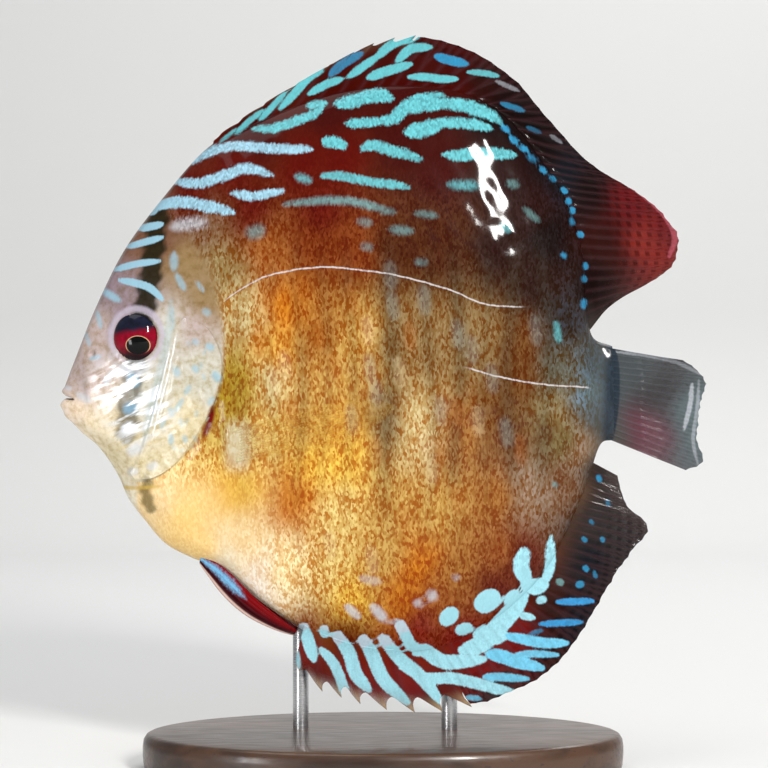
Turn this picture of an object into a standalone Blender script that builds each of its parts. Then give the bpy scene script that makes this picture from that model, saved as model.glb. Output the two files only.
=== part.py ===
"""A life-size discus fish, 140 mm long, held by two rods over a flat display base.

Lengths are in millimetres in the fish's own frame and are turned into metres when a mesh is made.
The snout points to -X, the left flank faces -Y, +Z is up, and the base stands on Z = 0.
The body is one loft. It is parted into head, trunk and tail stem by thin cuts along its sections,
and everything that grows on it is placed from the same loft.
"""
import math

import bmesh
import bpy
import numpy as np

MM = 0.001

# Driving sizes
GAP = 0.3
BASE_HEIGHT = 8.0
BASE_LENGTH = 104.0
BASE_WIDTH = 58.0
BASE_EDGE = 1.2
ROD_RADIUS = 1.75
ROD_SIDE = 4.3
ROD_TOP = 50.0
ROD_SINK = 5.0
ROD_PLACES = {"stand_rod_front": -18.0, "stand_rod_rear": 14.5}

# The body from snout to tail root. Each station is one section line from the belly edge to the
# back edge: back x and z, belly x and z, half thickness where it is fattest, half thickness of
# the back rim and of the belly rim, and how far the line bows towards the tail.
STATIONS = (
    (-69.1, 81.3, -69.4, 79.0, 2.4, 1.4, 1.4, 0.0),
    (-65.9, 90.7, -66.3, 73.8, 4.8, 1.8, 2.4, 1.2),
    (-61.9, 100.6, -62.0, 70.1, 6.9, 2.0, 2.8, 4.0),
    (-56.1, 112.2, -59.0, 66.2, 9.0, 1.9, 3.0, 8.5),
    (-48.3, 122.9, -57.0, 62.7, 10.7, 1.5, 3.1, 13.5),
    (-38.6, 134.0, -55.0, 58.3, 11.9, 0.8, 3.1, 17.3),
    (-30.0, 138.9, -51.5, 53.7, 12.4, 0.7, 2.9, 17.5),
    (-22.0, 142.5, -47.2, 48.8, 12.5, 0.7, 2.6, 16.5),
    (-13.5, 145.6, -41.5, 45.7, 12.4, 0.7, 2.2, 14.5),
    (-5.0, 147.5, -34.7, 43.0, 12.1, 0.7, 1.8, 12.5),
    (4.0, 148.3, -25.8, 35.6, 11.6, 0.7, 1.2, 10.5),
    (13.4, 147.6, -14.0, 28.3, 10.8, 0.7, 0.7, 8.5),
    (21.5, 145.0, -1.0, 24.9, 9.8, 0.7, 0.7, 6.5),
    (28.3, 139.8, 11.5, 25.7, 8.7, 0.7, 0.7, 4.8),
    (34.5, 131.8, 22.5, 31.2, 7.6, 0.7, 0.7, 3.4),
    (38.9, 125.0, 30.2, 37.3, 6.5, 0.7, 0.7, 2.3),
    (41.8, 117.5, 36.0, 44.3, 5.6, 0.7, 0.7, 1.5),
    (43.5, 109.5, 40.6, 53.2, 4.8, 0.7, 0.7, 0.9),
    (43.9, 101.5, 44.2, 62.0, 4.0, 0.7, 0.7, 0.4),
    (45.3, 93.7, 47.0, 70.0, 3.2, 0.9, 0.9, 0.1),
    (49.6, 91.5, 49.8, 71.2, 2.2, 1.2, 1.2, 0.0),
)
HEAD_END = 5.0
TRUNK_END = 19.0
TAIL_ROOT = 20.0
BOW_SKEW = 0.65
FULLNESS_HEAD = 0.6
FULLNESS_TRUNK = 0.75
HEAD_RINGS = 24
TRUNK_RINGS = 40
STEM_RINGS = 5
FLANK_STEPS = 17

# Eye, seen from the side, and how far it stands out of its socket
EYE_X = -51.7
EYE_Z = 93.2
EYE_RADIUS = 5.6
EYE_DEPTH = 3.6
EYE_SUNK = 2.0
ORBIT_RADIUS = 6.0
ORBIT_RISE = 0.5
ORBIT_WIDTH = 1.1

# Mouth and nostrils
LIP_THICKNESS = 1.35
UPPER_LIP = ((-62.9, 3.9, 79.4), (-65.4, 3.6, 81.0), (-67.6, 2.5, 82.0), (-68.5, 0.0, 82.3))
LOWER_LIP = ((-62.9, 3.9, 79.0), (-65.8, 3.5, 78.3), (-68.0, 2.2, 77.9), (-68.65, 0.0, 77.8))
MOUTH_CENTRE = (-69.4, 0.0, 80.1)
MOUTH_SIZE = (4.6, 4.4, 0.4)
NOSTRIL_X = -62.2
NOSTRIL_Z = 89.8
NOSTRIL_RADIUS = 0.85

# Gill cover outline: the front edge and the free margin, both from the throat upwards
COVER_FRONT = ((-54.4, 64.1), (-50.8, 69.8), (-47.8, 78.0), (-45.5, 87.0), (-43.4, 96.2))
COVER_MARGIN = ((-53.4, 62.8), (-48.8, 63.4), (-43.8, 66.8), (-39.2, 73.2), (-35.4, 80.4),
                (-34.2, 88.2), (-37.0, 94.9), (-42.2, 97.5))
COVER_THICKNESS = 1.2
COVER_LIFT = 1.0
COVER_ACROSS = 8
COVER_ALONG = 14

# Rays of the unpaired fins: station of the root on the body's edge, then x and z of the tip
DORSAL_RAYS = (
    (5.1, -36.6, 136.8), (6.0, -26.2, 144.2), (7.4, -11.5, 153.1), (8.6, -1.7, 157.6),
    (9.6, 8.0, 158.7), (10.7, 18.9, 155.6), (11.7, 28.6, 149.0), (12.6, 35.8, 140.6),
    (13.6, 44.9, 131.0), (14.5, 54.0, 125.4), (15.3, 60.5, 120.4), (16.2, 64.4, 114.5),
    (17.1, 62.6, 108.7), (18.1, 57.4, 105.0), (18.9, 49.6, 101.2),
)
ANAL_RAYS = (
    (10.7, -19.7, 20.5), (11.0, -13.9, 16.3), (11.4, -9.4, 15.1), (11.7, -4.6, 13.5),
    (12.0, 2.4, 12.2), (12.4, 8.9, 12.2), (12.8, 15.8, 12.9), (13.3, 23.2, 14.8),
    (13.9, 31.9, 18.5), (14.6, 39.4, 24.6), (15.3, 45.3, 33.2), (16.0, 49.6, 40.8),
    (16.7, 53.5, 46.5), (17.3, 57.6, 52.3), (17.9, 52.9, 57.1), (18.5, 50.9, 63.4),
)
DORSAL_SPINES = 9
DORSAL_SOFT = 16
ANAL_SPINES = 8
ANAL_SOFT = 16
DORSAL_SPINE_WEB = 0.88
ANAL_SPINE_WEB = 0.78
SOFT_REACH = 0.975
MEMBRANE_HALF = 0.28
ROOT_HALF = 0.62
SPINE_HALF = 0.85
SOFT_HALF = 0.6
TIP_HALF = 0.26
RAY_FOOT = 0.22
FIN_ROWS = (0.0, 0.25, 0.5, 0.75, 1.0)
LOBE_BEND = 1.5

# Tail fin: x and z of the ray roots and tips from top to bottom, and the curl of its rear rim
TAIL_TIPS = ((65.0, 88.4), (68.3, 86.0), (70.0, 82.9), (68.9, 79.2), (68.4, 75.2), (68.2, 71.0),
             (69.7, 66.6), (65.6, 64.6))
TAIL_RAYS = 12
TAIL_ROOT_HALF = 1.1
TAIL_CURL = 2.6

# Pectoral fins: root line and tip line from top to bottom ray
PECTORAL_ROOT = ((-33.4, 75.3), (-33.3, 72.0), (-33.1, 68.7), (-32.7, 65.4))
PECTORAL_TIPS = ((-7.6, 80.0), (0.4, 79.8), (2.2, 77.2), (-6.4, 71.2))
PECTORAL_RAYS = 9
PECTORAL_ROOT_HALF = 0.9
PECTORAL_LIFT = 3.6

# Pelvic fins, folded back under the belly: stations of root and tip, how far the inner edge
# leaves the belly edge, the width of the folded blade, and the distance from the middle plane
PELVIC_PLACES = (8.3, 10.65)
PELVIC_DROP = 2.9
PELVIC_WIDTH = 3.6
PELVIC_SIDE = (1.15, 2.7)
PELVIC_RAYS = 3


def spline(rows, place):
    """Smooth curve through the rows, where row k is met at place k."""
    rows = np.asarray(rows, dtype=float)
    place = np.clip(np.asarray(place, dtype=float), 0.0, len(rows) - 1.0)
    start = np.minimum(place.astype(int), len(rows) - 2)
    part = (place - start)[..., None]
    slope = np.gradient(rows, axis=0)
    rise = part * part * (3.0 - 2.0 * part)
    leave = part * (1.0 - part) ** 2
    arrive = part * part * (part - 1.0)
    return (rows[start] * (1.0 - rise) + rows[start + 1] * rise
            + slope[start] * leave + slope[start + 1] * arrive)


def share(rows, fraction):
    """The same curve read by a fraction from 0 to 1."""
    return spline(rows, np.asarray(fraction, dtype=float) * (len(rows) - 1))


def smoothstep(value, low, high):
    part = np.clip((value - low) / (high - low), 0.0, 1.0)
    return part * part * (3.0 - 2.0 * part)


def orbit_rise(x, z):
    """A soft raised ring round the eye."""
    distance = np.hypot(x - EYE_X, z - EYE_Z)
    return ORBIT_RISE * np.exp(-((distance - ORBIT_RADIUS) / ORBIT_WIDTH) ** 2)


def body(place, height):
    """x, z and half thickness of the body at a station and a height from 0 (belly) to 1 (back)."""
    place, height = np.broadcast_arrays(np.asarray(place, float), np.asarray(height, float))
    back_x, back_z, belly_x, belly_z, fat, back_rim, belly_rim, bow = np.moveaxis(
        spline(STATIONS, place), -1, 0)
    height = np.clip(height, 0.0, 1.0)
    x = belly_x + (back_x - belly_x) * height + bow * np.sin(np.pi * height ** BOW_SKEW)
    z = belly_z + (back_z - belly_z) * height
    rim = belly_rim + (back_rim - belly_rim) * height
    fullness = FULLNESS_HEAD + (FULLNESS_TRUNK - FULLNESS_HEAD) * smoothstep(place, 3.0, 8.0)
    lens = (4.0 * height * (1.0 - height)) ** fullness
    return x, z, rim + (fat - rim) * lens + orbit_rise(x, z) * lens


def locate(x, z):
    """Station and height of the flank point at x, z: a coarse search, then Newton steps."""
    x, z = np.broadcast_arrays(np.asarray(x, float), np.asarray(z, float))
    places, heights = np.meshgrid(np.linspace(0.0, TAIL_ROOT, 121), np.linspace(0.0, 1.0, 61))
    grid_x, grid_z, _ = body(places, heights)
    distance = (grid_x.ravel() - x.reshape(-1, 1)) ** 2 + (grid_z.ravel() - z.reshape(-1, 1)) ** 2
    nearest = np.argmin(distance, axis=1)
    place = places.ravel()[nearest].reshape(x.shape)
    height = heights.ravel()[nearest].reshape(x.shape)
    step = 1e-4
    for _ in range(12):
        here_x, here_z, _ = body(place, height)
        along_x, along_z, _ = body(place + step, height)
        up_x, up_z, _ = body(place, height + step)
        a, b = (along_x - here_x) / step, (up_x - here_x) / step
        c, d = (along_z - here_z) / step, (up_z - here_z) / step
        det = a * d - b * c
        det = np.where(np.abs(det) < 1e-6, 1e-6, det)
        off_x, off_z = x - here_x, z - here_z
        place = np.clip(place + (d * off_x - b * off_z) / det, 0.0, TAIL_ROOT - 2 * step)
        height = np.clip(height + (a * off_z - c * off_x) / det, 0.0, 1.0 - 2 * step)
    return place, height


def flank(x, z):
    """Half thickness of the body at x, z."""
    return body(*locate(x, z))[2]


def edge(place, height, off):
    """Point of the back edge (height 1) or belly edge (height 0), moved outwards by off."""
    x, z, _ = body(place, height)
    ahead_x, ahead_z, _ = body(place + 0.01, height)
    behind_x, behind_z, _ = body(place - 0.01, height)
    run_x, run_z = ahead_x - behind_x, ahead_z - behind_z
    length = np.hypot(run_x, run_z)
    turn = 1.0 if height > 0.5 else -1.0
    return x - turn * run_z / length * off, z + turn * run_x / length * off


def material(name, colour, roughness, metallic=0.0):
    finish = bpy.data.materials.new(name)
    finish.use_nodes = True
    shader = finish.node_tree.nodes["Principled BSDF"]
    shader.inputs["Base Color"].default_value = (*colour, 1.0)
    shader.inputs["Roughness"].default_value = roughness
    shader.inputs["Metallic"].default_value = metallic
    return finish


def add_mesh(name, points, faces, finish, collection):
    """Mesh object from points in millimetres, with every face turned outwards."""
    mesh = bpy.data.meshes.new(name)
    mesh.from_pydata([tuple(point) for point in np.asarray(points) * MM], [], faces)
    mesh.update()
    work = bmesh.new()
    work.from_mesh(mesh)
    bmesh.ops.recalc_face_normals(work, faces=work.faces)
    if work.calc_volume(signed=True) < 0:
        bmesh.ops.reverse_faces(work, faces=work.faces)
    work.to_mesh(mesh)
    work.free()
    mesh.shade_smooth()
    mesh.set_sharp_from_angle(angle=math.radians(50))
    thing = bpy.data.objects.new(name, mesh)
    if finish:
        mesh.materials.append(finish)
    collection.objects.link(thing)
    return thing


def loft(name, places, finish, collection, shift_start=0.0, shift_end=0.0):
    """Closed length of the body through sections at the given stations.

    Each ring runs up the left flank and down the right one. The first and last ring may be
    moved along the body, square to their section line, to leave the gap to the next node.
    """
    heights = (1.0 - np.cos(np.pi * np.arange(FLANK_STEPS + 1) / FLANK_STEPS)) / 2.0
    count = len(heights)
    points = []
    for number, place in enumerate(places):
        x, z, half = body(np.full(count, place), heights)
        shift = {0: shift_start, len(places) - 1: shift_end}.get(number, 0.0)
        if shift:
            run_x, run_z = np.gradient(x), np.gradient(z)
            length = np.hypot(run_x, run_z)
            x = x + shift * run_z / length
            z = z - shift * run_x / length
        points.append(np.stack([x, -half, z], axis=1))
        points.append(np.stack([x, half, z], axis=1)[::-1])
    ring = 2 * count
    faces = []
    for number in range(len(places) - 1):
        for side in range(ring):
            after = (side + 1) % ring
            start, end = number * ring, (number + 1) * ring
            faces.append((start + side, start + after, end + after, end + side))
    for start in (0, (len(places) - 1) * ring):
        for low in range(count - 1):
            faces.append((start + low, start + low + 1,
                          start + ring - 2 - low, start + ring - 1 - low))
    return add_mesh(name, np.concatenate(points), faces, finish, collection)


def sheet(name, front, back, finish, collection):
    """Closed thin solid between two grids of points, both split into the same triangles."""
    rows, columns = front.shape[:2]
    number = np.arange(rows * columns).reshape(rows, columns)
    total = rows * columns
    faces = []
    for i in range(rows - 1):
        for j in range(columns - 1):
            a, b = number[i, j], number[i, j + 1]
            c, d = number[i + 1, j + 1], number[i + 1, j]
            for triangle in ((a, b, c), (a, c, d)):
                faces.append(tuple(int(v) for v in triangle))
                faces.append(tuple(int(v) + total for v in reversed(triangle)))
    border = list(number[0, :]) + list(number[1:, -1])
    border += list(number[-1, -2::-1]) + list(number[-2:0:-1, 0])
    for here, after in zip(border, border[1:] + border[:1]):
        here, after = int(here), int(after)
        faces.append((here, here + total, after + total))
        faces.append((here, after + total, after))
    points = np.concatenate([front.reshape(-1, 3), back.reshape(-1, 3)])
    return add_mesh(name, points, faces, finish, collection)


def largest_body(thing):
    """Drop everything but the largest closed surface of a mesh."""
    work = bmesh.new()
    work.from_mesh(thing.data)
    work.faces.ensure_lookup_table()
    waiting = set(work.faces)
    shells = []
    while waiting:
        shell, edge_of_search = set(), [waiting.pop()]
        while edge_of_search:
            face = edge_of_search.pop()
            shell.add(face)
            for side in face.edges:
                for other in side.link_faces:
                    if other in waiting:
                        waiting.discard(other)
                        edge_of_search.append(other)
        shells.append(shell)
    keep = max(shells, key=lambda shell: sum(face.calc_area() for face in shell))
    loose = [face for shell in shells if shell is not keep for face in shell]
    bmesh.ops.delete(work, geom=loose, context="FACES")
    bmesh.ops.triangulate(work, faces=work.faces)
    work.to_mesh(thing.data)
    work.free()


def boolean(thing, others, operation):
    """Join or cut a mesh object with a collection of closed mesh objects, and apply it."""
    modifier = thing.modifiers.new(operation.lower(), "BOOLEAN")
    modifier.operation = operation
    modifier.operand_type = "COLLECTION"
    modifier.collection = others
    modifier.solver = "EXACT"
    bpy.context.view_layer.update()
    graph = bpy.context.evaluated_depsgraph_get()
    made = bpy.data.meshes.new_from_object(thing.evaluated_get(graph))
    thing.modifiers.clear()
    old = thing.data
    thing.data = made
    bpy.data.meshes.remove(old)
    made.name = thing.name
    largest_body(thing)
    made.shade_smooth()
    made.set_sharp_from_angle(angle=math.radians(50))


def ellipsoid(name, centre, size, finish, collection, segments=20, rings=12):
    """Ellipsoid from a round primitive; its poles point along Y."""
    work = bmesh.new()
    bmesh.ops.create_uvsphere(work, u_segments=segments, v_segments=rings, radius=1.0)
    for point in work.verts:
        x, y, z = point.co
        point.co = ((centre[0] + size[0] * x) * MM, (centre[1] - size[1] * z) * MM,
                    (centre[2] + size[2] * y) * MM)
    mesh = bpy.data.meshes.new(name)
    work.to_mesh(mesh)
    work.free()
    mesh.shade_smooth()
    if finish:
        mesh.materials.append(finish)
    thing = bpy.data.objects.new(name, mesh)
    collection.objects.link(thing)
    return thing


def rod(name, x, y, low, high, radius, finish, collection):
    work = bmesh.new()
    bmesh.ops.create_cone(work, cap_ends=True, segments=24, radius1=radius * MM,
                          radius2=radius * MM, depth=(high - low) * MM)
    mesh = bpy.data.meshes.new(name)
    work.to_mesh(mesh)
    work.free()
    mesh.shade_smooth()
    mesh.set_sharp_from_angle(angle=math.radians(40))
    if finish:
        mesh.materials.append(finish)
    thing = bpy.data.objects.new(name, mesh)
    thing.location = (x * MM, y * MM, (low + high) / 2 * MM)
    collection.objects.link(thing)
    return thing


def new_collection(name, parent=None):
    group = bpy.data.collections.new(name)
    (parent or bpy.context.scene.collection).children.link(group)
    return group


def as_cutter(thing):
    thing.hide_render = True
    thing.display_type = "WIRE"


def lip(name, half_path, collection):
    """A lip: a tube that runs from one mouth corner round the snout to the other, thin at both."""
    left = [(x, -y, z) for x, y, z in half_path]
    right = [(x, y, z) for x, y, z in reversed(half_path[:-1])]
    curve = bpy.data.curves.new(name, "CURVE")
    curve.dimensions = "3D"
    curve.bevel_depth = LIP_THICKNESS * MM
    curve.bevel_resolution = 2
    curve.use_fill_caps = True
    path = spline(left + right, np.linspace(0.0, len(left + right) - 1.0, 15))
    line = curve.splines.new("POLY")
    line.points.add(len(path) - 1)
    for number, (point, place) in enumerate(zip(line.points, path)):
        point.co = (*(place * MM), 1.0)
        from_corner = min(number, len(path) - 1 - number) / (len(path) // 2)
        point.radius = 0.5 + 0.5 * math.sin(math.pi / 2 * min(1.0, 1.6 * from_corner))
    thing = bpy.data.objects.new(name + "_path", curve)
    collection.objects.link(thing)
    bpy.context.view_layer.update()
    graph = bpy.context.evaluated_depsgraph_get()
    mesh = bpy.data.meshes.new_from_object(thing.evaluated_get(graph))
    work = bmesh.new()
    work.from_mesh(mesh)
    bmesh.ops.remove_doubles(work, verts=work.verts, dist=1e-6)
    bmesh.ops.recalc_face_normals(work, faces=work.faces)
    work.to_mesh(mesh)
    work.free()
    made = bpy.data.objects.new(name, mesh)
    made.matrix_world = thing.matrix_world
    bpy.data.objects.remove(thing)
    collection.objects.link(made)
    return made


def cover_grid(across, along):
    """x, z points of the gill cover: across from the front edge to the free margin."""
    part = np.linspace(0.0, 1.0, along + 1)
    front = share(COVER_FRONT, part)
    margin = share(COVER_MARGIN, part)
    blend = np.linspace(0.0, 1.0, across + 1)[None, :, None]
    return front[:, None, :] * (1.0 - blend) + margin[:, None, :] * blend


def grow(grid, amount):
    """Move the border of a flat grid outwards by amount."""
    rows, columns = grid.shape[:2]
    border = [(0, j) for j in range(columns)] + [(i, columns - 1) for i in range(1, rows)]
    border += [(rows - 1, j) for j in range(columns - 2, -1, -1)]
    border += [(i, 0) for i in range(rows - 2, 0, -1)]
    loop = np.array([grid[i, j] for i, j in border])
    run = np.roll(loop, -1, axis=0) - loop
    run /= np.linalg.norm(run, axis=1, keepdims=True)
    normal = np.stack([run[:, 1], -run[:, 0]], axis=1)
    area = np.sum(loop[:, 0] * np.roll(loop[:, 1], -1) - loop[:, 1] * np.roll(loop[:, 0], -1))
    normal *= np.sign(area)
    joint = normal + np.roll(normal, 1, axis=0)
    joint /= np.maximum(np.sum(joint * normal, axis=1, keepdims=True), 0.35)
    grown = grid.copy()
    for (i, j), move in zip(border, joint):
        grown[i, j] = grid[i, j] + move * amount
    return grown


def gill_cover(name, side, finish, collection, clearance=0.0):
    """Gill cover, flush at its front edge and standing off the shoulder at its free margin.

    With a clearance it is the cutter of its own bed, open to the outside.
    """
    grid = cover_grid(COVER_ACROSS, COVER_ALONG)
    lift = COVER_LIFT * np.linspace(0.0, 1.0, COVER_ACROSS + 1)[None, :] ** 1.3
    skin = flank(grid[..., 0], grid[..., 1])
    outer = skin + lift
    inner = outer - COVER_THICKNESS
    if clearance:
        grid = grow(grid, clearance)
        outer = skin + 4.0
        inner = inner - clearance
    front = np.stack([grid[..., 0], side * outer, grid[..., 1]], axis=-1)
    back = np.stack([grid[..., 0], side * inner, grid[..., 1]], axis=-1)
    return sheet(name, front, back, finish, collection)


def ray_columns(spines, soft):
    """Positions across a fin, with the kind of each column: ray crest, ray foot or membrane.

    Returns position 0 to 1, crest weight (1 on a ray) and whether the place is spiny.
    """
    rays = spines + soft
    position, crest = [], []
    for ray in range(rays):
        position.append(float(ray))
        crest.append(1.0)
        if ray < rays - 1:
            position += [ray + RAY_FOOT, ray + 0.5, ray + 1.0 - RAY_FOOT]
            crest += [0.0, 0.0, 0.0]
    position = np.array(position)
    return position / (rays - 1), np.array(crest), position < spines - 0.5


def edge_fin(name, rays, spines, soft, spine_web, height, finish, collection):
    """Unpaired fin on the back edge (height 1) or belly edge (height 0) of the body."""
    position, crest, spiny = ray_columns(spines, soft)
    table = share(rays, position)
    root_x, root_z = edge(table[:, 0], height, GAP)
    reach = np.where(crest > 0.5, 1.0, np.where(spiny, spine_web, SOFT_REACH))
    rows = np.array(FIN_ROWS)[:, None] * reach[None, :]
    x = root_x + (table[:, 1] - root_x) * rows
    z = root_z + (table[:, 2] - root_z) * rows
    ray_half = np.where(spiny, SPINE_HALF, SOFT_HALF)
    ridge = ray_half + (TIP_HALF - ray_half) * rows
    web = ROOT_HALF + (MEMBRANE_HALF - ROOT_HALF) * smoothstep(rows, 0.0, 0.25)
    half = np.where(crest > 0.5, np.maximum(ridge, TIP_HALF), web)
    half[0] = ROOT_HALF
    middle = -LOBE_BEND * rows ** 2 * np.sin(np.pi * position) ** 2
    front = np.stack([x, middle - half, z], axis=-1)
    back = np.stack([x, middle + half, z], axis=-1)
    return sheet(name, front, back, finish, collection)


def tail_fin(finish, collection):
    """Tail fin: rays fan out from the tail stem, and the rear rim curls to the left."""
    position, crest, _ = ray_columns(0, TAIL_RAYS)
    root_x, root_z, _ = body(np.full(len(position), TAIL_ROOT), 0.98 - 0.96 * position)
    root_x = root_x + GAP
    tips = share(TAIL_TIPS, position)
    steps = np.array((0.0, 0.2, 0.45, 0.7, 0.88, 1.0))[:, None]
    reach = np.where(crest > 0.5, 1.0, 0.985)[None, :]
    rows = steps * reach
    x = root_x + (tips[:, 0] - root_x) * rows
    z = root_z + (tips[:, 1] - root_z) * rows
    web = TAIL_ROOT_HALF + (MEMBRANE_HALF - TAIL_ROOT_HALF) * smoothstep(rows, 0.0, 0.3)
    half = np.where(crest > 0.5, np.maximum(web, SOFT_HALF + (TIP_HALF - SOFT_HALF) * rows), web)
    middle = -TAIL_CURL * smoothstep(rows, 0.55, 1.1)
    front = np.stack([x, middle - half, z], axis=-1)
    back = np.stack([x, middle + half, z], axis=-1)
    return sheet("caudal_fin", front, back, finish, collection)


def pectoral_fin(name, side, finish, collection):
    """Pectoral fin: its root pad lies on the flank, and the fan stands off it towards the tip."""
    position, crest, _ = ray_columns(0, PECTORAL_RAYS)
    root = share(PECTORAL_ROOT, position)
    tip = share(PECTORAL_TIPS, position)
    steps = np.array((0.0, 0.1, 0.25, 0.5, 0.75, 1.0))[:, None]
    rows = steps * np.where(crest > 0.5, 1.0, 0.97)[None, :]
    x = root[:, 0] + (tip[:, 0] - root[:, 0]) * rows
    z = root[:, 1] + (tip[:, 1] - root[:, 1]) * rows
    web = PECTORAL_ROOT_HALF + (MEMBRANE_HALF - PECTORAL_ROOT_HALF) * smoothstep(rows, 0.08, 0.28)
    half = np.where(crest > 0.5, web + 0.16 * (1.0 - rows), web)
    lift = PECTORAL_LIFT * smoothstep(rows, 0.05, 1.0)
    middle = flank(x, z) + GAP + half + lift
    inner = np.stack([x, side * (middle - half), z], axis=-1)
    outer = np.stack([x, side * (middle + half), z], axis=-1)
    return sheet(name, outer, inner, finish, collection)


def pelvic_fin(name, side, finish, collection):
    """Pelvic fin: a narrow folded blade that runs back along the belly edge."""
    position, crest, _ = ray_columns(0, PELVIC_RAYS)
    along = np.linspace(0.0, 1.0, 9)[:, None]
    place = PELVIC_PLACES[0] + (PELVIC_PLACES[1] - PELVIC_PLACES[0]) * along
    inner = GAP + PELVIC_DROP * along ** 1.4
    width = PELVIC_WIDTH * (0.4 + 0.6 * np.sin(np.pi * np.minimum(1.0, along + 0.15)))
    x, z = edge(place + 0.0 * position, 0.0, inner + width * position[None, :])
    ridge = np.where(crest > 0.5, 0.2, 0.0)[None, :] * (1.0 - along)
    half = 0.55 + (TIP_HALF - 0.55) * along + ridge
    middle = PELVIC_SIDE[0] + (PELVIC_SIDE[1] - PELVIC_SIDE[0]) * along
    front = np.stack([x, side * (middle + half), z], axis=-1)
    back = np.stack([x, side * (middle - half), z], axis=-1)
    return sheet(name, front, back, finish, collection)


def stand(parts, cutters, wood, steel):
    """Elliptic base and two rods; each rod stands in a blind hole of the base."""
    bpy.ops.mesh.primitive_cylinder_add(vertices=48, radius=1.0, depth=1.0)
    base = bpy.context.object
    base.name = "stand_base"
    base.data.name = "stand_base"
    scale = (BASE_LENGTH / 2 * MM, BASE_WIDTH / 2 * MM, BASE_HEIGHT * MM)
    for point in base.data.vertices:
        point.co = [value * factor for value, factor in zip(point.co, scale)]
        point.co.z += BASE_HEIGHT / 2 * MM
    for group in list(base.users_collection):
        group.objects.unlink(base)
    parts.objects.link(base)
    base.data.materials.append(wood)
    work = bmesh.new()
    work.from_mesh(base.data)
    rims = [side for side in work.edges if side.calc_face_angle(0.0) > math.radians(60)]
    bmesh.ops.bevel(work, geom=rims, offset=BASE_EDGE * MM, segments=2, profile=0.5,
                    affect="EDGES")
    work.to_mesh(base.data)
    work.free()
    holes = new_collection("stand_holes", cutters)
    for name, x in ROD_PLACES.items():
        rod(name, x, ROD_SIDE, BASE_HEIGHT - ROD_SINK, ROD_TOP, ROD_RADIUS, steel, parts)
        hole = rod(name + "_hole", x, ROD_SIDE, BASE_HEIGHT - ROD_SINK - GAP, BASE_HEIGHT + 2.0,
                   ROD_RADIUS + GAP, None, holes)
        as_cutter(hole)
    boolean(base, holes, "DIFFERENCE")


def main():
    for thing in list(bpy.data.objects):
        bpy.data.objects.remove(thing)
    parts = new_collection("discus_fish")
    cutters = new_collection("cutters")

    face_skin = material("face_skin", (0.55, 0.53, 0.42), 0.3)
    flank_skin = material("flank_skin", (0.52, 0.25, 0.06), 0.3)
    stem_skin = material("stem_skin", (0.3, 0.3, 0.27), 0.3)
    cover_skin = material("cover_skin", (0.58, 0.58, 0.45), 0.28)
    fin_red = material("fin_red", (0.2, 0.02, 0.02), 0.35)
    fin_clear = material("fin_clear", (0.4, 0.42, 0.4), 0.25)
    eye_red = material("eye_red", (0.25, 0.01, 0.02), 0.08)
    wood = material("stand_wood", (0.05, 0.025, 0.015), 0.35)
    steel = material("stand_steel", (0.6, 0.6, 0.6), 0.25, 1.0)

    head = loft("head", np.linspace(0.0, HEAD_END, HEAD_RINGS), face_skin, parts,
                shift_end=-GAP / 2)
    trunk = loft("trunk", np.linspace(HEAD_END, TRUNK_END, TRUNK_RINGS), flank_skin, parts,
                 shift_start=GAP / 2, shift_end=-GAP / 2)
    loft("tail_stem", np.linspace(TRUNK_END, TAIL_ROOT, STEM_RINGS), stem_skin, parts,
         shift_start=GAP / 2)

    lips = new_collection("lips", parts)
    lip("upper_lip", UPPER_LIP, lips)
    lip("lower_lip", LOWER_LIP, lips)
    boolean(head, lips, "UNION")
    for thing in list(lips.objects):
        bpy.data.objects.remove(thing)

    head_cuts = new_collection("head_cuts", cutters)
    eye_side = float(flank(EYE_X, EYE_Z)) - EYE_SUNK
    nostril_side = float(flank(NOSTRIL_X, NOSTRIL_Z))
    for word, side in (("left", -1.0), ("right", 1.0)):
        centre = (EYE_X, side * eye_side, EYE_Z)
        ellipsoid("eye_" + word, centre, (EYE_RADIUS, EYE_DEPTH, EYE_RADIUS), eye_red, parts)
        ellipsoid("socket_" + word, centre,
                  (EYE_RADIUS + GAP, EYE_DEPTH + GAP, EYE_RADIUS + GAP), None, head_cuts)
        ellipsoid("nostril_" + word, (NOSTRIL_X, side * nostril_side, NOSTRIL_Z),
                  (NOSTRIL_RADIUS, NOSTRIL_RADIUS, NOSTRIL_RADIUS), None, head_cuts, 10, 6)
        gill_cover("gill_cover_" + word, side, cover_skin, parts)
        gill_cover("bed_" + word, side, None, head_cuts, clearance=GAP)
        pectoral_fin("pectoral_fin_" + word, side, fin_clear, parts)
        pelvic_fin("pelvic_fin_" + word, side, fin_red, parts)
    ellipsoid("mouth_line", MOUTH_CENTRE, MOUTH_SIZE, None, head_cuts, 24, 12)
    for thing in head_cuts.objects:
        as_cutter(thing)
    boolean(head, head_cuts, "DIFFERENCE")

    edge_fin("dorsal_fin", DORSAL_RAYS, DORSAL_SPINES, DORSAL_SOFT, DORSAL_SPINE_WEB, 1.0,
             fin_red, parts)
    edge_fin("anal_fin", ANAL_RAYS, ANAL_SPINES, ANAL_SOFT, ANAL_SPINE_WEB, 0.0, fin_red, parts)
    tail_fin(fin_clear, parts)

    stand(parts, cutters, wood, steel)
    trunk_cuts = new_collection("trunk_cuts", cutters)
    for name, x in ROD_PLACES.items():
        hole = rod(name + "_socket", x, ROD_SIDE, BASE_HEIGHT, ROD_TOP + GAP, ROD_RADIUS + GAP,
                   None, trunk_cuts)
        as_cutter(hole)
    boolean(trunk, trunk_cuts, "DIFFERENCE")


main()
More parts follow.
